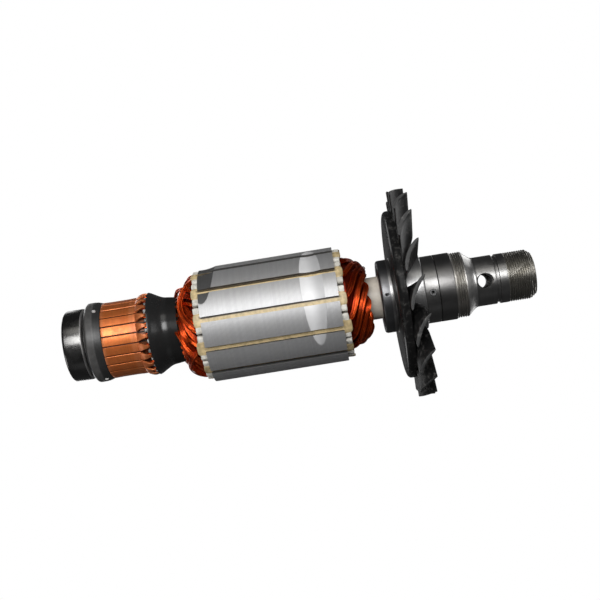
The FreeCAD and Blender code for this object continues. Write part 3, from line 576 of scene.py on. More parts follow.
def make_lead_wires():
    """Two thin wires at each hook, along curves that climb and spread from the bar."""
    route = [(-0.2, 0.012, 0.9), (-0.1, 0.018, 1.9), (0.1, 0.045, 2.9), (0.4, 0.060, 3.9), (0.1, 0.050, 5.2)]
    wires = Piece()
    for k in range(BAR_COUNT):
        for side in (-1, 1):
            poles = [polar(BAR_RADIUS + out * MM, BAR_TURN + k * BAR_PITCH + side * aside,
                           BAR_TOP + up * MM) for out, aside, up in route]
            wires.add(tube(eased_line(poles, 10), WIRE_RADIUS), shade=chance.uniform(0.3, 0.8))
    wires.build("lead_wires", wire)


def strap(line, half_width, half_thick):
    """A strap along a line of (outwards, up) offsets from the bar's end, narrowing to a blunt point."""
    path = line + np.array([BAR_RADIUS, BAR_TOP])
    loop = rounded([(-1, -1, 0.25), (1, -1, 0.25), (1, 1, 0.25), (-1, 1, 0.25)], 3)
    share = np.linspace(0, 1, len(line))
    narrow = 1 - 0.62 * np.clip((share - 0.25) / 0.6, 0, 1) ** 0.8
    narrow[-1] *= 0.6
    thin = np.append(np.linspace(1, 0.8, len(line) - 1), 0.5)
    out = path[:, None] + square_to(path)[:, None] * loop[None, :, 1:] * half_thick * thin[:, None, None]
    across = loop[None, :, 0] * half_width * narrow[:, None]
    return np.stack([out[..., 0], across, out[..., 1]], -1)


# Resin neck, smooth and glossy, with blobs of resin at the hooks.
def make_neck():
    """A waisted curve that goes round the axis with low lumps, and knobs of resin between the hooks."""
    look = Finish("glossy_black_resin", (0.011, 0.011, 0.011), 0.0, 0.5, Specular_IOR_Level=0.06,
                  Coat_Roughness=0.21)
    where, _, height, _ = look.place()
    smear = look.between(look.noise(where, 260, 3.0, 0.5, 0.4), 0.70, 0.78)
    look.tint(smear, (0.30, 0.24, 0.15), 0.12)
    look.put("Base Color", look.colour)
    look.put("Coat Weight", look.between(height, neck_foot + 7.2 * MM, neck_foot + 8.8 * MM, 1.0, 0.08))
    look.bump(look.noise(where, 300, 2.0), 0.12 * MM, 0.12)
    waist, end = 15.3 * MM, 14.6 * MM
    line = eased_line([(neck_radius - 0.1 * MM, 0), (neck_radius - 0.3 * MM, 0.06),
                       (neck_radius - 1.2 * MM, 0.18), (waist + 1.2 * MM, 0.33), (waist + 0.1 * MM, 0.5),
                       (waist - 0.1 * MM, 0.68), (end + 0.2 * MM, 0.88), (end, 1)], 40)
    angle = around(160)
    share = line[:, 1:]
    lumps = sum(0.05 * MM * np.sin(n * angle + chance.uniform(0, TURN) + 5 * share * chance.uniform(-1, 1))
                for n in (2, 3, 5))
    away = line[:, :1] - 0.15 * MM + lumps * np.sin(math.pi * np.clip(share, 0, 1)) ** 0.5
    outside = polar(away, angle, neck_foot + share * (neck_top - neck_foot))
    inside = polar(np.full((2, 1), sleeve_radius), angle, np.array([[neck_top], [neck_foot]]))
    neck = Piece()
    neck.add(np.vstack([outside, inside]), ring=True)
    neck.build("resin_neck", look.material, replaces=["lead_binding"])
    blobs = Piece()
    for k in range(BAR_COUNT):
        angle = BAR_TURN + (k + 0.5) * BAR_PITCH + chance.uniform(-0.02, 0.02)
        height = neck_foot - 0.5 * MM + chance.uniform(-0.3, 0.3) * MM
        head = BAR_RADIUS + chance.uniform(0.1, 0.9) * MM
        wide = chance.uniform(0.8, 1.25) * MM
        blobs.add(knob(angle, height, BAR_RADIUS - 1.8 * MM, head, wide, squash=0.8),
                  shade=chance.uniform(0.1, 0.9))
    # The knobs are resin; their pale grey tones are painted glints of light on them.
    grey = shaded_finish("resin_blob_painted_glints", (0.04, 0.04, 0.04), (0.62, 0.62, 0.60), 0.25, 900, 0.1)
    blobs.build("resin_blobs", grey)


# Windings: each coil's end is a bundle of enamelled wires that follow its centre line.
WIRE_RADIUS = 0.25 * MM
COIL_SPAN = 5 * SLOT_PITCH
# For each end: its foot and way, the slot depths it joins, its rise and the bundle's radius. Then the poles
# of its centre line as shares (outwards, up, along the span), and the outline (radius, height) of the mass
# inside in millimetres.
HEADS = {
    "fan": (core_top, 1, 9.8 * MM, 5.5 * MM, 14.6 * MM, 1.55 * MM,
            [(0.0, 0.34, 0.0), (-0.44, 0.30, 0.16), (-1.16, 0.85, 0.44), (-0.14, 0.86, 0.48),
             (1.0, 0.51, 0.77), (1.0, 0.32, 1.0)],
            [(9.6, 0.5), (17.0, 0.5), (18.6, 2.5), (17.2, 6.0), (15.0, 9.4), (12.4, 11.6), (9.6, 12.0)]),
    "tail": (core_foot, -1, 9.2 * MM, 5.4 * MM, 11.8 * MM, 1.45 * MM,
             [(0.0, 0.47, 0.0), (-0.26, 0.34, 0.15), (-1.58, 0.62, 0.35), (-0.84, 0.92, 0.43),
              (1.13, 0.80, 0.71), (1.0, 0.33, 1.0)],
             [(9.6, 0.5), (17.0, 0.5), (18.6, 3.0), (17.2, 6.5), (13.5, 8.6), (9.6, 9.0)]),
}


def head_line(lower_depth, upper_depth, rise, shares, count):
    """Centre line of a coil's end above the core's face, as in the CAD coils."""
    lower, upper = core_radius - lower_depth, core_radius - upper_depth
    inside = -0.75 * MM
    poles = [(lower, 0.0, inside)]
    poles += [(lower + out * (upper - lower), share * COIL_SPAN, up * rise) for out, up, share in shares]
    poles.append((upper, COIL_SPAN, inside))
    return eased_line([polar(*pole) for pole in poles], count)


def packed(radius, spacing):
    """Places of wires packed in rows inside a round bundle."""
    reach = range(-int(radius / spacing) - 2, int(radius / spacing) + 3)
    places = [np.array([(i + 0.5 * (j % 2)) * spacing, j * spacing * 0.87]) for i in reach for j in reach]
    return [place for place in places if np.linalg.norm(place) < radius]


def strands_of(line, wide, swing, twirl, wander, tone, spread):
    """The wires of a bundle along a centre line, each with its shade. They twist round it and drift."""
    count = len(line)
    across, lift = frames_along(line)
    twist = chance.uniform(-swing, swing) + np.linspace(0, chance.uniform(-twirl, twirl), count)
    for place in packed(wide - WIRE_RADIUS, 2.1 * WIRE_RADIUS):
        u = place[0] * np.cos(twist) - place[1] * np.sin(twist) + drift(count, 3, wander)
        v = place[0] * np.sin(twist) + place[1] * np.cos(twist) + drift(count, 3, wander)
        strand = tube(line + across * u[:, None] + lift * v[:, None], WIRE_RADIUS)
        yield strand, shade_near(tone, spread)


def make_heads():
    """At each end of the core, every coil's bundle turned to its slot, round an inner mass in the darkest
    wire tone: painted shade between the bundles.
    """
    for name, (foot, facing, lower, upper, rise, bundle, shares, mass) in HEADS.items():
        strands = Piece()
        for k in range(SLOT_COUNT):
            line = head_line(lower, upper, rise, shares, 44)
            for strand, shade in strands_of(line, bundle, 0.9, 1.6, 0.16 * MM, 0.45, 0.2):
                strand = strand * np.array([1, 1, facing]) + np.array([0, 0, foot])
                strands.add(in_slot(strand, k), shade=shade)
        outline = rounded([(r * MM, foot + facing * z * MM, 1.2 * MM) for r, z in mass], 4)
        # The inner mass stands for the hidden wires; shade 0 gives it the darkest wire tone, a painted shade
        # seen between the bundles.
        strands.add(turned(outline, 96), ring=True, shade=0.0)
        strands.build("windings_" + name + "_head", wire,
                      replaces=["armature_coils"], sharp=70)


def make_leads():
    """Three wires from under the neck for each bar, climbing and turning to the tail head."""
    leads = Piece()
    for k in range(BAR_COUNT):
        start = BAR_TURN + k * BAR_PITCH + chance.uniform(-0.04, 0.04)
        skew = math.radians(26) + chance.uniform(-0.10, 0.10)
        for strand in range(3):
            aside = (strand - 1) * 0.03 + chance.uniform(-0.012, 0.012)
            bow = chance.uniform(-0.3, 0.5) * MM
            poles = [(neck_radius - 5.2 * MM, start + aside, neck_top - 1.5 * MM),
                     (neck_radius - 4.4 * MM, start + aside * 1.1, neck_top + 0.8 * MM),
                     (18.0 * MM + bow, start + aside + skew * 0.35, neck_top + 3.4 * MM),
                     (21.3 * MM + bow, start + aside + skew * 0.7, neck_top + 6.6 * MM),
                     (22.2 * MM, start + aside * 0.7 + skew, neck_top + 9.3 * MM),
                     (21.8 * MM, start + aside * 0.4 + skew, core_foot + 1.0 * MM)]
            leads.add(tube(eased_line([polar(*pole) for pole in poles], 24), WIRE_RADIUS),
                      shade=shade_near(0.6, 0.2))
    leads.build("winding_leads", wire, sharp=70)


def make_tail_loops():
    """Bundles that lie over the tail head: poles of (radius mm, degrees, height mm), four times round."""
    loops = Piece()
    for start, low_end in ((-87, -49), (3, 41), (93, 131), (183, 221)):
        climb = [(12.6, start - 2, 49.4), (14.2, start + 1, 50.2), (17.6, start + 12, 51.9),
                 (20.4, start + 26, 54.9), (21.8, low_end, 58.0), (21.4, low_end + 4, 60.5)]
        arch = [(21.8, start - 66, 60.0), (22.2, start - 60, 57.6), (20.2, start - 46, 54.2),
                (19.6, start - 30, 53.6), (20.8, start - 14, 55.6), (22.4, start - 3, 58.6),
                (21.8, start + 1, 60.5)]
        for poles, wide, tone in ((climb, 1.15, 0.85), (arch, 1.25, 0.7)):
            line = eased_line([polar(r * MM, math.radians(a), z * MM) for r, a, z in poles], 36)
            for strand, shade in strands_of(line, wide * MM, 0.5, 1.0, 0.2 * MM, tone, 0.35):
                loops.add(strand, shade=shade)
    loops.build("winding_tail_loops", wire, sharp=70)


def make_slot_sides():
    """Two eased blocks in each slot, carried straight through the core."""
    sides = Piece()
    floor, ceiling = SLOT_FLOOR + 0.45 * MM, WEDGE_FOOT - 0.1 * MM
    middle = (floor + ceiling) / 2
    for low_edge, high_edge in ((floor, middle - 0.15 * MM), (middle + 0.15 * MM, ceiling)):
        corners = mirrored([(r, slot_half(r, 0.45 * MM), 0.5 * MM) for r in (low_edge, high_edge)])
        section = rounded(corners, 4)
        for k in range(SLOT_COUNT):
            sides.add(in_slot(straight(section, (core_foot - 1.5 * MM, core_top + 1.5 * MM)), k))
    sides.build("winding_sides", wire)


# Slot insulation: folded paper liners with a cuff at both ends, and tan wedges in the slots' mouths.
def cuff_path():
    """The cuff's way round its slot, from one side of the wedge to the other: (outwards, across)."""
    mouth = WEDGE_TOP - 0.55 * MM
    floor = SLOT_FLOOR - 1.0 * MM
    corners = mirrored([(mouth - 0.1 * MM, 2.9 * MM, 0), (mouth, slot_half(mouth, -1.0 * MM), 1.1 * MM),
                        (floor, slot_half(floor, -1.0 * MM), 1.2 * MM)])
    return dense(rounded(corners, 6, closed=False), 1.2 * MM, closed=False)


def make_liners():
    """Cuffs: a thin fold carried round the slot, with chance in its reach and lean. Linings in the slots."""
    path = cuff_path()
    normal = square_to(path)
    count = len(path)
    fold = [(-0.5, 0.02), (-0.42, 0.6), (-0.28, 0.95), (0.0, 1.0), (0.3, 0.93), (0.45, 0.55), (0.5, 0.02)]
    cuffs = Piece()
    for k in range(SLOT_COUNT):
        for foot, facing in ((core_foot, -1), (core_top, 1)):
            reach = 2.75 * MM + drift(count, 4, 0.16 * MM)
            lean = drift(count, 3, 0.15 * MM)
            rows = []
            for aside, up in fold:
                shift = aside * 0.9 * MM + (up - 0.5) * 0.25 * MM + lean * up
                rows.append(np.column_stack([path + normal * shift[:, None], foot + facing * up * reach]))
            cuffs.add(in_slot(np.transpose(np.array(rows), (1, 0, 2)), k), shade=shade_near(0.7, 0.15))
    gap, wall = 0.02 * MM, 0.33 * MM
    outside = mirrored([(r, slot_half(r, gap)) for r in (WEDGE_FOOT, SLOT_FLOOR)])
    inside = mirrored([(r, slot_half(r, wall)) for r in (WEDGE_FOOT, SLOT_FLOOR + wall)])
    lining = straight(np.array(outside + inside[::-1]), (core_foot, core_top))
    for k in range(SLOT_COUNT):
        cuffs.add(in_slot(lining, k), shade=0.5)
    paper = shaded_finish("folded_cream_paper", (0.20, 0.18, 0.14), (0.72, 0.70, 0.64), 0.55, 700, 0.12)
    cuffs.build("paper_slot_liners", paper, replaces=["slot_liners"])


def make_wedges():
    """Arched strips: an eased section whose width and thickness taper towards both ends."""
    half_width, half_thick, arch = 3.2 * MM, 0.55 * MM, 0.12 * MM
    middle = (WEDGE_TOP + WEDGE_FOOT) / 2
    inward = np.array([0.0, 0.15, 0.5, 1.1, 2.0, 3.6]) * MM
    taper = np.array([0.45, 0.70, 0.88, 0.97, 1.0, 1.0])
    tones = np.array([0.5, 0.6, 0.7, 0.75, 0.9, 0.9, 0.9, 0.9, 0.75, 0.7, 0.6, 0.5])
    # Extra points on the loop's top carry the painted shadow line below.
    loop = rounded([(-1, -1, 0.3), (-0.3, -1, 0), (0.3, -1, 0), (1, -1, 0.3), (1, 1, 0.3), (0.36, 1, 0),
                    (0.3, 1, 0), (-0.12, 1, 0), (-0.22, 1, 0), (-0.36, 1, 0), (-1, 1, 0.3)], 3)
    # Painted shadow: shade 0 on a strip along one side of the wedge's top, inside the core, a dark line where
    # the tooth beside it shades the wedge.
    edge = np.where((loop[:, 1] > 0.99) & (loop[:, 0] < -0.2) & (loop[:, 0] > -0.5), 0.0, 1.0)
    wedges = Piece()
    for k in range(SLOT_COUNT):
        facing_front = k == 10
        wide = 1.0 if facing_front else chance.uniform(0.86, 0.97)
        over = 3.7 * MM * (1.0 if facing_front else chance.uniform(0.8, 0.95))
        heights = np.concatenate([core_foot - over + inward, core_top + over - inward[::-1]])
        widths = np.concatenate([taper, taper[::-1]]) * half_width * wide
        rows = []
        for height, half in zip(heights, widths):
            thick = half_thick * min(1.0, 0.55 + 0.45 * half / half_width)
            out = middle + loop[:, 1] * thick - arch * (loop[:, 0] ** 2) + chance.uniform(-0.03, 0.03) * MM
            rows.append(np.column_stack([out, loop[:, 0] * half, np.full(len(loop), height)]))
        inside = (heights > core_foot) & (heights < core_top)
        shade = tones[:, None] * np.where(inside[:, None], edge[None, :], 1.0)
        wedges.add(in_slot(np.array(rows), k), shade=shade)
    tan = shaded_finish("tan_wedge_strip", (0.05, 0.035, 0.02), (0.58, 0.45, 0.24), 0.45, 500, 0.12)
    wedges.build("tan_slot_wedges", tan, replaces=["slot_wedges"])


def core_finish():
    """Stack of sheets: a line at each sheet, cloudy steel, ground grooves, and painted shade in the slots.

    A ground groove is what lies a little inside the core's radius and still faces outwards. Its tones hold
    painted light and shade: a paler and a darker half across the fan-side groove, a painted dark reflection
    in the tail-side groove, and painted shade on the flanks."""
    look = Finish("stacked_sheet_steel", (0.42, 0.42, 0.425), 0.70, 0.50)
    where, away, height, _ = look.place()
    sheet = look.maths("DIVIDE", height, 0.5 * MM)
    wave = look.maths("SINE", look.times(sheet, TURN))
    number = look.maths("FLOOR", sheet)
    each = look.step("TexWhiteNoise", {"W": number}, noise_dimensions="1D").outputs["Value"]
    cloud = look.between(look.noise(where, 90, 5.0, 0.6), 0.35, 0.7)
    look.colour = (0.44, 0.44, 0.445)
    look.tint(look.between(each, 0, 1, 0, 0.18), (0.29, 0.29, 0.30))
    look.tint(look.between(wave, 0.2, 1.0, 0, 0.45), (0.17, 0.17, 0.17))
    look.tint(cloud, (0.32, 0.31, 0.29), 0.18)
    sunk = look.times(look.between(away, core_radius - 0.06 * MM, core_radius - 0.02 * MM, 1, 0),
                      look.between(away, core_radius - 1.12 * MM, core_radius - 1.08 * MM))
    outward = look.vector("NORMALIZE", look.vector("MULTIPLY", where, (1, 1, 0)))
    normal = look.step("TexCoord").outputs["Normal"]
    facing = look.vector("DOT_PRODUCT", normal, outward, output="Value")
    ground = look.times(sunk, look.between(facing, 0.55, 0.75))
    # Painted shade: the flanks of the grooves and of the slots' mouths, sunk but not facing outwards, are
    # darkened.
    look.tint(look.maths("SUBTRACT", sunk, ground), (0.05, 0.05, 0.05), 0.85)
    # Painted light and shade across the fan-side groove: its tail-side half is paler, its fan-side half
    # darker.
    painted_groove_light = look.blend(look.between(height, core_top - 13 * MM, core_top - 7.5 * MM), (0.66, 0.66, 0.665),
                         (0.42, 0.42, 0.425))
    # Painted dark reflection: the ground in the tail-side groove takes a near-black tone.
    tail_groove_painted_dark = look.between(height, core_foot + 9.0 * MM, core_foot + 9.5 * MM, 1, 0)
    look.tint(ground, look.blend(tail_groove_painted_dark, painted_groove_light, (0.03, 0.03, 0.03)), 0.9)
    # Painted shade in the slots: everything more than 1.15 mm inside the core's radius is darkened.
    slot = look.between(away, core_radius - 1.3 * MM, core_radius - 1.15 * MM, 1, 0)
    look.tint(slot, (0.05, 0.05, 0.05), 0.7)
    look.put("Base Color", look.colour)
    look.put("Metallic", look.maths("SUBTRACT", 0.70, look.times(ground, 0.40)))
    look.bump(wave, 0.03 * MM, 0.35)
    return look.material


def make_core_and_sleeve():
    """Both are shown as CAD nodes."""
    give("lamination_core", core_finish())
    tube_finish = plain_finish("pale_insulating_tube", (0.55, 0.50, 0.43), 0.45, grain=250, spread=0.3)
    give("shaft_sleeve", tube_finish)


# Hub ring, fan and fan hub.
HUB_BORE = 10.0 * MM
BLADE_COUNT = 18
BLADE_TURN = math.radians(10.5)
HALF_SWEEP = math.tan(math.radians(8.5))
PLATE_RADIUS = 37.5 * MM
PLATE_TOP = fan_foot + 4.3 * MM


def make_hub_ring():
    """An eased half section that goes round the axis, sunk at one place into a round dimple."""
    # The pale band next to the fan is a painted highlight, a glint where the hub ring meets the fan plate.
    satin = turned_steel("dark_satin_steel", (0.155, 0.155, 0.16), 0.38, line=0.5, stain=0.4,
                         stain_tone=(0.03, 0.03, 0.03),
                         bands=((fan_foot - 1.9 * MM, fan_foot, (0.42, 0.415, 0.41), 0.30),))
    profile = dense(rounded([(HUB_BORE, hub_foot, 0), (hub_ring_radius, hub_foot, 1.5 * MM),
                             (hub_ring_radius, fan_foot, 0.7 * MM), (HUB_BORE, fan_foot, 0)], 7), 0.4 * MM)
    columns = 720
    grid = turned(profile, columns)
    dimple_turn, dimple_height, dimple = math.radians(-92), hub_foot + 2.6 * MM, 0.5 * MM
    aside = (np.mod(around(columns) - dimple_turn + math.pi, TURN) - math.pi) * hub_ring_radius
    off = np.hypot(aside, profile[:, 1:] - dimple_height)
    outside = profile[:, :1] > hub_ring_radius - 0.5 * MM
    dent = dimple * np.clip(1.4 - off / dimple, 0, 1) * outside
    grid[..., :2] *= 1 - (dent / profile[:, :1])[..., None]
    ring = Piece()
    ring.add(grid, ring=True)
    ring.build("hub_ring_satin", satin, replaces=["hub_ring"])


def fan_finish():
    """Black moulding, dusty where its points' shade is high, with a painted highlight on the blade tips,
    glossier round the plate's rear edge.
    """
    look = Finish("dusty_black_moulding", (0.008, 0.008, 0.008), 0.0, 0.36, Specular_IOR_Level=0.05)
    where, away, height, _ = look.place()
    shade = look.shade()
    dust = look.times(look.between(look.noise(where, 420, 6.0, 0.7), 0.5, 0.75), shade)
    look.tint(dust, (0.24, 0.23, 0.22))
    # Painted highlight: where the shade is high, at the blades' tips, the black turns pale grey.
    look.tint(look.between(shade, 0.75, 1.0), (0.14, 0.14, 0.14), 0.6)
    look.put("Base Color", look.colour)
    edge = look.times(look.between(height, fan_foot + 3.4 * MM, fan_foot + 4.2 * MM, 1, 0),
                      look.between(away, PLATE_RADIUS - 5 * MM, PLATE_RADIUS - 4 * MM))
    rough = look.maths("SUBTRACT", 0.46, look.times(edge, 0.26))
    look.put("Roughness", look.maths("ADD", rough, look.times(dust, 0.4)))
    look.bump(look.noise(where, 1400), 0.06 * MM, 0.35)
    return look.material


def blade_grid():
    """A cambered blade: bent strips with round edges, from the hub, where it is low, out to the tip."""
    hub, rows = fan_hub_radius, 14
    reach = np.linspace(hub - 0.2 * MM, blade_radius - 0.35 * MM, rows)
    reach = np.append(reach, [blade_radius - 0.1 * MM, blade_radius])
    slim = np.append(np.ones(rows), [0.85, 0.5])
    chord = np.cos(np.linspace(0, math.pi, 13))
    start, rise, drop = fan_foot + 4.4 * MM, 7.2 * MM, 1.4 * MM
    sections = []
    for radius, thin in zip(reach, slim):
        away = radius / np.sqrt(1 + (chord * HALF_SWEEP) ** 2)
        across = chord * away * HALF_SWEEP
        lost = drop * np.clip((blade_radius + 1 * MM - radius) / (blade_radius - hub + 3 * MM), 0, 1)
        lost += 4.0 * MM * np.clip((31 * MM - radius) / (31 * MM - hub), 0, 1)
        lift = start + (1 - chord) / 2 * (rise - lost)
        half = radius * HALF_SWEEP
        slant = math.hypot(2 * half, rise - lost)
        down = np.array([-(rise - lost) / slant, -2 * half / slant])
        bend = (1 - chord ** 2) * 1.5 * MM
        belly = 0.82 * MM * np.sqrt(np.clip(1 - chord ** 6, 0.0, 1)) * thin
        under = np.stack([away, across + down[0] * (bend + belly), lift + down[1] * (bend + belly)], -1)
        over = np.stack([away, across + down[0] * (bend - belly), lift + down[1] * (bend - belly)], -1)
        sections.append(np.vstack([under, over[-2:0:-1]]))
    return np.array(sections)


def make_fan():
    """A plate that goes round the axis, blades turned to their places and bent a little, and the hub."""
    fan = Piece()
    plate = rounded([(fan_hub_radius, fan_foot, 0), (PLATE_RADIUS, fan_foot, 4.2 * MM),
                     (PLATE_RADIUS, PLATE_TOP, 0.5 * MM), (fan_hub_radius, PLATE_TOP, 0)], 10)
    fan.add(turned(dense(plate, 2.5 * MM), 256), ring=True, shade=0.25)
    blade = blade_grid()
    shade = np.full(blade.shape[:2], 0.33)
    # The tips' high shade carries dust and a painted highlight.
    shade[-2:] = 0.9
    out = (np.linalg.norm(blade[..., :2], axis=-1) - fan_hub_radius) / (blade_radius - fan_hub_radius)
    for k in range(BLADE_COUNT):
        bent = blade.copy()
        bent[..., 2] += chance.uniform(-0.25, 0.25) * MM * out
        fan.add(spun(bent, BLADE_TURN + k * TURN / BLADE_COUNT), shade=shade)
    fan.build("fan_moulding", fan_finish(), replaces=["fan"])
    outline = rounded([(HUB_BORE, fan_foot, 0), (fan_hub_radius, fan_foot, 0.4 * MM),
                       (fan_hub_radius, collar_foot, 0.6 * MM), (HUB_BORE, collar_foot, 0)], 5)
    hub = Piece()
    hub.add(turned(outline), ring=True)
    hub_steel = turned_steel("turned_hub_steel", (0.40, 0.40, 0.40), 0.34, line=0.5, stain=0.45)
    hub.build("fan_hub_turned", hub_steel, replaces=["fan_hub"])


# Spindle and collar.
THREAD_PITCH = 1.0 * MM
THREAD_DEPTH = 0.55 * MM
NOSE_RADIUS = 11.0 * MM
THREAD_FOOT = nose_top - 12.5 * MM
THREAD_TOP = nose_top - 2.5 * MM
NOSE_FOOT = THREAD_FOOT - 14.0 * MM
LOCKNUT_FOOT = seat_foot + 6.9 * MM
CONE_FOOT = LOCKNUT_FOOT + 5.1 * MM
CROSS_HOLE_RADIUS = 3.1 * MM
CROSS_HOLE_HEIGHT = NOSE_FOOT + 3.9 * MM
# Each thread: its foot, its top, and the radius beyond which it is cut.
THREADS = ((THREAD_FOOT, nose_top, 8.9 * MM), (LOCKNUT_FOOT + 0.4 * MM, CONE_FOOT, 14.0 * MM))


def spindle_outline():
    """Half section of the shaft from the tail journal to the bored nose, its corners eased."""
    edge = 0.25 * MM
    core_seat, locknut, cone_end = 8.0 * MM, 14.6 * MM, 12.0 * MM
    groove, groove_width, groove_bottom = NOSE_FOOT + 9.0 * MM, 1.5 * MM, NOSE_RADIUS - 0.7 * MM
    mouth, bore, cone_depth, bore_depth = 7.8 * MM, 6.3 * MM, 12 * MM, 38 * MM
    return [
        (SHAFT_RADIUS, 0.3 * MM, 0.6 * MM), (SHAFT_RADIUS, bar_foot, 0), (core_seat, bar_foot, 0),
        (core_seat, hub_foot, 0), (HUB_BORE, hub_foot, 0), (HUB_BORE, seat_foot, 0),
        (seat_radius, seat_foot, 0.12 * MM), (seat_radius, LOCKNUT_FOOT, edge),
        (locknut, LOCKNUT_FOOT + 0.2 * MM, edge), (locknut, CONE_FOOT, 0.5 * MM),
        (cone_end, NOSE_FOOT - 1.5 * MM, 0.8 * MM), (NOSE_RADIUS, NOSE_FOOT, 0.8 * MM),
        (NOSE_RADIUS, groove, edge), (groove_bottom, groove, edge),
        (groove_bottom, groove + groove_width, edge), (NOSE_RADIUS, groove + groove_width, edge),
        (NOSE_RADIUS, THREAD_FOOT, 0), (NOSE_RADIUS, THREAD_TOP, 0), (9.2 * MM, nose_top, edge),
        (mouth, nose_top, edge), (bore, nose_top - cone_depth, 0), (bore, nose_top - bore_depth, 0),
    ]


def longest_stretch(radius, height):
    """How long a stretch of the spindle's outline may be: finest on the threads, fine on the nose."""
    if any(foot < height < head and radius > least for foot, head, least in THREADS):
        return 0.1 * MM
    return 0.4 * MM if height > NOSE_FOOT - 1 * MM else 6 * MM


def make_spindle():
    """The half section goes round the axis. A sharp wave that climbs one pitch a turn cuts its threads."""
    fine = dense(rounded(spindle_outline(), 5, closed=False), longest_stretch, closed=False)
    columns = 144
    phase = fine[:, 1:] / THREAD_PITCH - around(columns) / TURN
    ridge = np.clip(2.5 * np.abs(np.mod(phase, 1) - 0.5) - 0.1, 0, 1)
    away = np.repeat(fine[:, :1], columns, 1)
    for foot, head, least in THREADS:
        inside = (fine[:, 1] > foot) & (fine[:, 1] < head) & (fine[:, 0] > least)
        rise, fall = (fine[:, 1] - foot) / (0.6 * MM), (head - fine[:, 1]) / (0.5 * MM)
        fade = np.clip(rise, 0, 1) * np.clip(fall, 0, 1)
        away -= THREAD_DEPTH * ridge * (fade * inside)[:, None]
    shaft = Piece()
    shaft.add(polar(away, around(columns), fine[:, 1:]))
    steel = turned_steel("stained_spindle_steel", (0.25, 0.247, 0.243), 0.32, line=0.25, stain=0.12,
                         bands=((LOCKNUT_FOOT - 7.5 * MM, LOCKNUT_FOOT, (0.155, 0.152, 0.15), 0.36),
                                (LOCKNUT_FOOT, CONE_FOOT, (0.42, 0.405, 0.375), 0.36),
                                (CONE_FOOT, NOSE_FOOT, (0.52, 0.515, 0.505), 0.32),
                                (THREAD_FOOT, nose_top, (0.35, 0.336, 0.304), 0.33)))
    spindle = shaft.build("spindle_with_thread", steel, replaces=["spindle"])
    drill(spindle, steel)
    collar_steel = turned_steel("stained_collar_steel", (0.225, 0.222, 0.218), 0.33, line=0.4, stain=0.2)
    give("spacer_collar", collar_steel)
    give("collar_grub_screw", screw_finish())


def screw_finish():
    """Collar steel with painted shade in its socket and on a ring at its rim, by the distance from the
    screw's own axis.
    """
    look = Finish("collar_screw_steel", (0.32, 0.32, 0.32), 1.0, 0.36)
    low_corner, high_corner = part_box("collar_grub_screw")
    centre = (low_corner + high_corner) / 2
    outward = Vector((centre.x, centre.y, 0)).normalized()
    offset = look.vector("SUBTRACT", look.place()[0], tuple(centre))
    off = look.vector("LENGTH", look.vector("CROSS_PRODUCT", offset, tuple(outward)), output="Value")
    wide = (high_corner.z - low_corner.z) / 2
    # Painted shade: the socket and the screw's rim are darkened.
    look.tint(look.maths("MAXIMUM", look.between(off, wide * 0.40, wide * 0.50, 1, 0),
                         look.between(off, wide * 0.84, wide * 0.92)), (0.015, 0.015, 0.015))
    look.put("Base Color", look.colour)
    return look.material


def drill(spindle, steel):
    """Cut the cross hole with its bevels out of the spindle, with a turned rod laid along the Y axis."""
    depth, bevel = NOSE_RADIUS + 1 * MM, 0.8 * MM
    wide = CROSS_HOLE_RADIUS + 2 * bevel
    rod = turned([(wide, -depth), (CROSS_HOLE_RADIUS, -NOSE_RADIUS + bevel),
                  (CROSS_HOLE_RADIUS, NOSE_RADIUS - bevel), (wide, depth)], 64)
    cutter = Piece()
    cutter.add(np.stack([rod[..., 0], rod[..., 2], -rod[..., 1]], -1) + np.array([0, 0, CROSS_HOLE_HEIGHT]))
    tool = cutter.build("cross_hole_cutter", steel)
    cut = spindle.modifiers.new("cross_hole", "BOOLEAN")
    cut.object, cut.operation, cut.solver = tool, "DIFFERENCE", "EXACT"
    seen = spindle.evaluated_get(bpy.context.evaluated_depsgraph_get())
    drilled = bpy.data.meshes.new_from_object(seen)
    spindle.modifiers.clear()
    spindle.data = drilled
    drilled.set_sharp_from_angle(angle=math.radians(30))
    bpy.data.objects.remove(tool)


# Camera, lights and background.
TILT = math.radians(9.1)
CAMERA_AT = Vector((0.0, -0.477, 0.1227))
CAMERA_AIM = Vector((-0.0045, 0.0, 0.1055))
MIDDLE = (0, 0, 0.105)
# Each lamp: name, place, what it faces, width, height, power in watts, colour.
PANELS = (
    ("key_panel", (-0.20, -0.58, 0.08), (0, 0, 0.08), 0.26, 0.52, 3.7, (1, 1, 1)),
    ("upper_panel", (-0.44, -0.38, 0.09), MIDDLE, 0.20, 0.50, 0.45, (1.0, 0.98, 0.93)),
    ("lower_panel", (0.50, -0.20, 0.05), MIDDLE, 0.20, 0.40, 0.03, (0.97, 0.98, 1.0)),
    ("nose_panel", (-0.10, -0.25, 0.55), MIDDLE, 0.20, 0.20, 0.7, (1, 1, 1)),
    ("tail_panel", (0.25, -0.15, -0.35), MIDDLE, 0.25, 0.25, 0.4, (1, 1, 1)),
    ("back_high_panel", (-0.05, 0.42, 0.52), MIDDLE, 0.60, 0.35, 1.5, (1, 1, 1)),
    ("back_low_panel", (-0.05, 0.45, -0.28), MIDDLE, 0.60, 0.35, 1.5, (1, 1, 1)),
)
FLOOR_HALF, FLOOR_HEIGHT = 0.35, -0.0005


def add_to_scene(name, data):
    """A new object of the scene."""
    thing = bpy.data.objects.new(name, data)
    bpy.context.scene.collection.objects.link(thing)
    return thing


def make_camera():
    """The camera's right side leans by the photograph's tilt from the shaft's axis."""
    camera = add_to_scene("camera", bpy.data.cameras.new("camera"))
    bpy.context.scene.camera = camera
    camera.data.lens = 63.9
    camera.data.clip_start = 0.01
    back = (CAMERA_AT - CAMERA_AIM).normalized()
    right = Vector((math.sin(TILT), 0, math.cos(TILT)))
    right = (right - back * right.dot(back)).normalized()
    turn = Matrix((right, back.cross(right), back)).transposed()
    camera.matrix_world = Matrix.Translation(CAMERA_AT) @ turn.to_4x4()


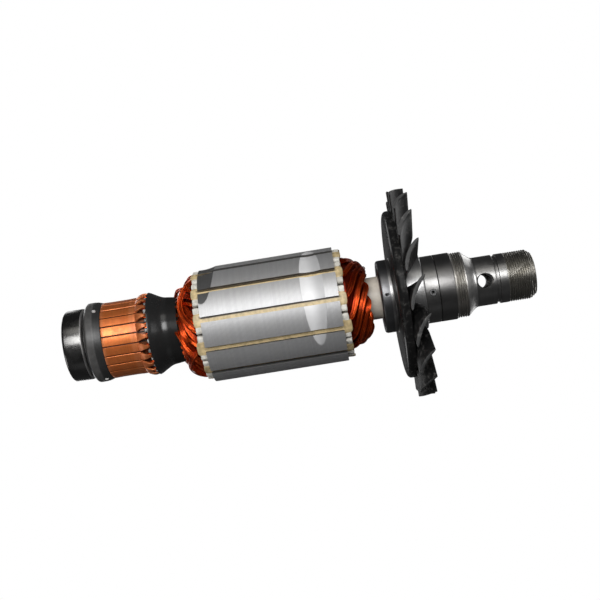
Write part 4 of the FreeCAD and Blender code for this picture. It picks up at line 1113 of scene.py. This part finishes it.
def make_lights():
    """Soft panels that light the object and that the camera doesn't see."""
    for name, where, aim, wide, tall, power, tone in PANELS:
        data = bpy.data.lights.new(name, "AREA")
        data.shape = "RECTANGLE"
        data.size, data.size_y = wide, tall
        data.energy, data.color = power, tone
        light = add_to_scene(name, data)
        light.visible_camera = False
        light.location = where
        light.rotation_mode = "QUATERNION"
        light.rotation_quaternion = (Vector(aim) - Vector(where)).to_track_quat("-Z", "Y")


def make_background():
    """White for the camera and for what is seen through, a little of it for reflections, dim for the rest."""
    world = bpy.data.worlds.new("studio")
    bpy.context.scene.world = world
    world.use_nodes = True
    studio = Nodes(world.node_tree)
    rays = studio.step("LightPath").outputs
    path = studio.maths("ADD", rays["Is Camera Ray"], rays["Is Transmission Ray"], clamp=True)
    path = studio.maths("ADD", path, studio.times(rays["Is Glossy Ray"], 0.03), clamp=True)
    dim = studio.step("Background", {"Color": (0.8, 0.82, 0.86, 1), "Strength": 0.03}).outputs[0]
    white = studio.step("Background", {"Color": (1, 1, 1, 1), "Strength": 1.0}).outputs[0]
    mixed = studio.step("MixShader", {0: path, 1: dim, 2: white}).outputs[0]
    studio.feed(studio.tree.nodes["World Output"].inputs["Surface"], mixed)
    bpy.context.scene.view_settings.view_transform = "Standard"


def make_floor():
    """A pale floor that the camera sees as white, so that it has no edge."""
    look = Finish("pale_floor", (0.75, 0.75, 0.75), 0.0, 0.5)
    path = look.step("LightPath").outputs["Is Camera Ray"]
    white = look.step("Emission", {"Color": (1, 1, 1, 1), "Strength": 1.0}).outputs[0]
    mixed = look.step("MixShader", {0: path, 1: look.shader.outputs[0], 2: white}).outputs[0]
    look.feed(look.tree.nodes["Material Output"].inputs["Surface"], mixed)
    mesh = bpy.data.meshes.new("floor")
    corners = [(-1, -1), (1, -1), (1, 1), (-1, 1)]
    mesh.from_pydata([(x * FLOOR_HALF, y * FLOOR_HALF, FLOOR_HEIGHT) for x, y in corners], [], [(0, 1, 2, 3)])
    mesh.materials.append(look.material)
    floor = add_to_scene("floor", mesh)
    floor.visible_glossy = False
    floor.visible_shadow = False


make_bearing()
make_slinger()
make_commutator()
make_lead_wires()
make_neck()
make_heads()
make_leads()
make_tail_loops()
make_slot_sides()
make_liners()
make_wedges()
make_core_and_sleeve()
make_hub_ring()
make_fan()
make_spindle()
make_camera()
make_lights()
make_background()
make_floor()
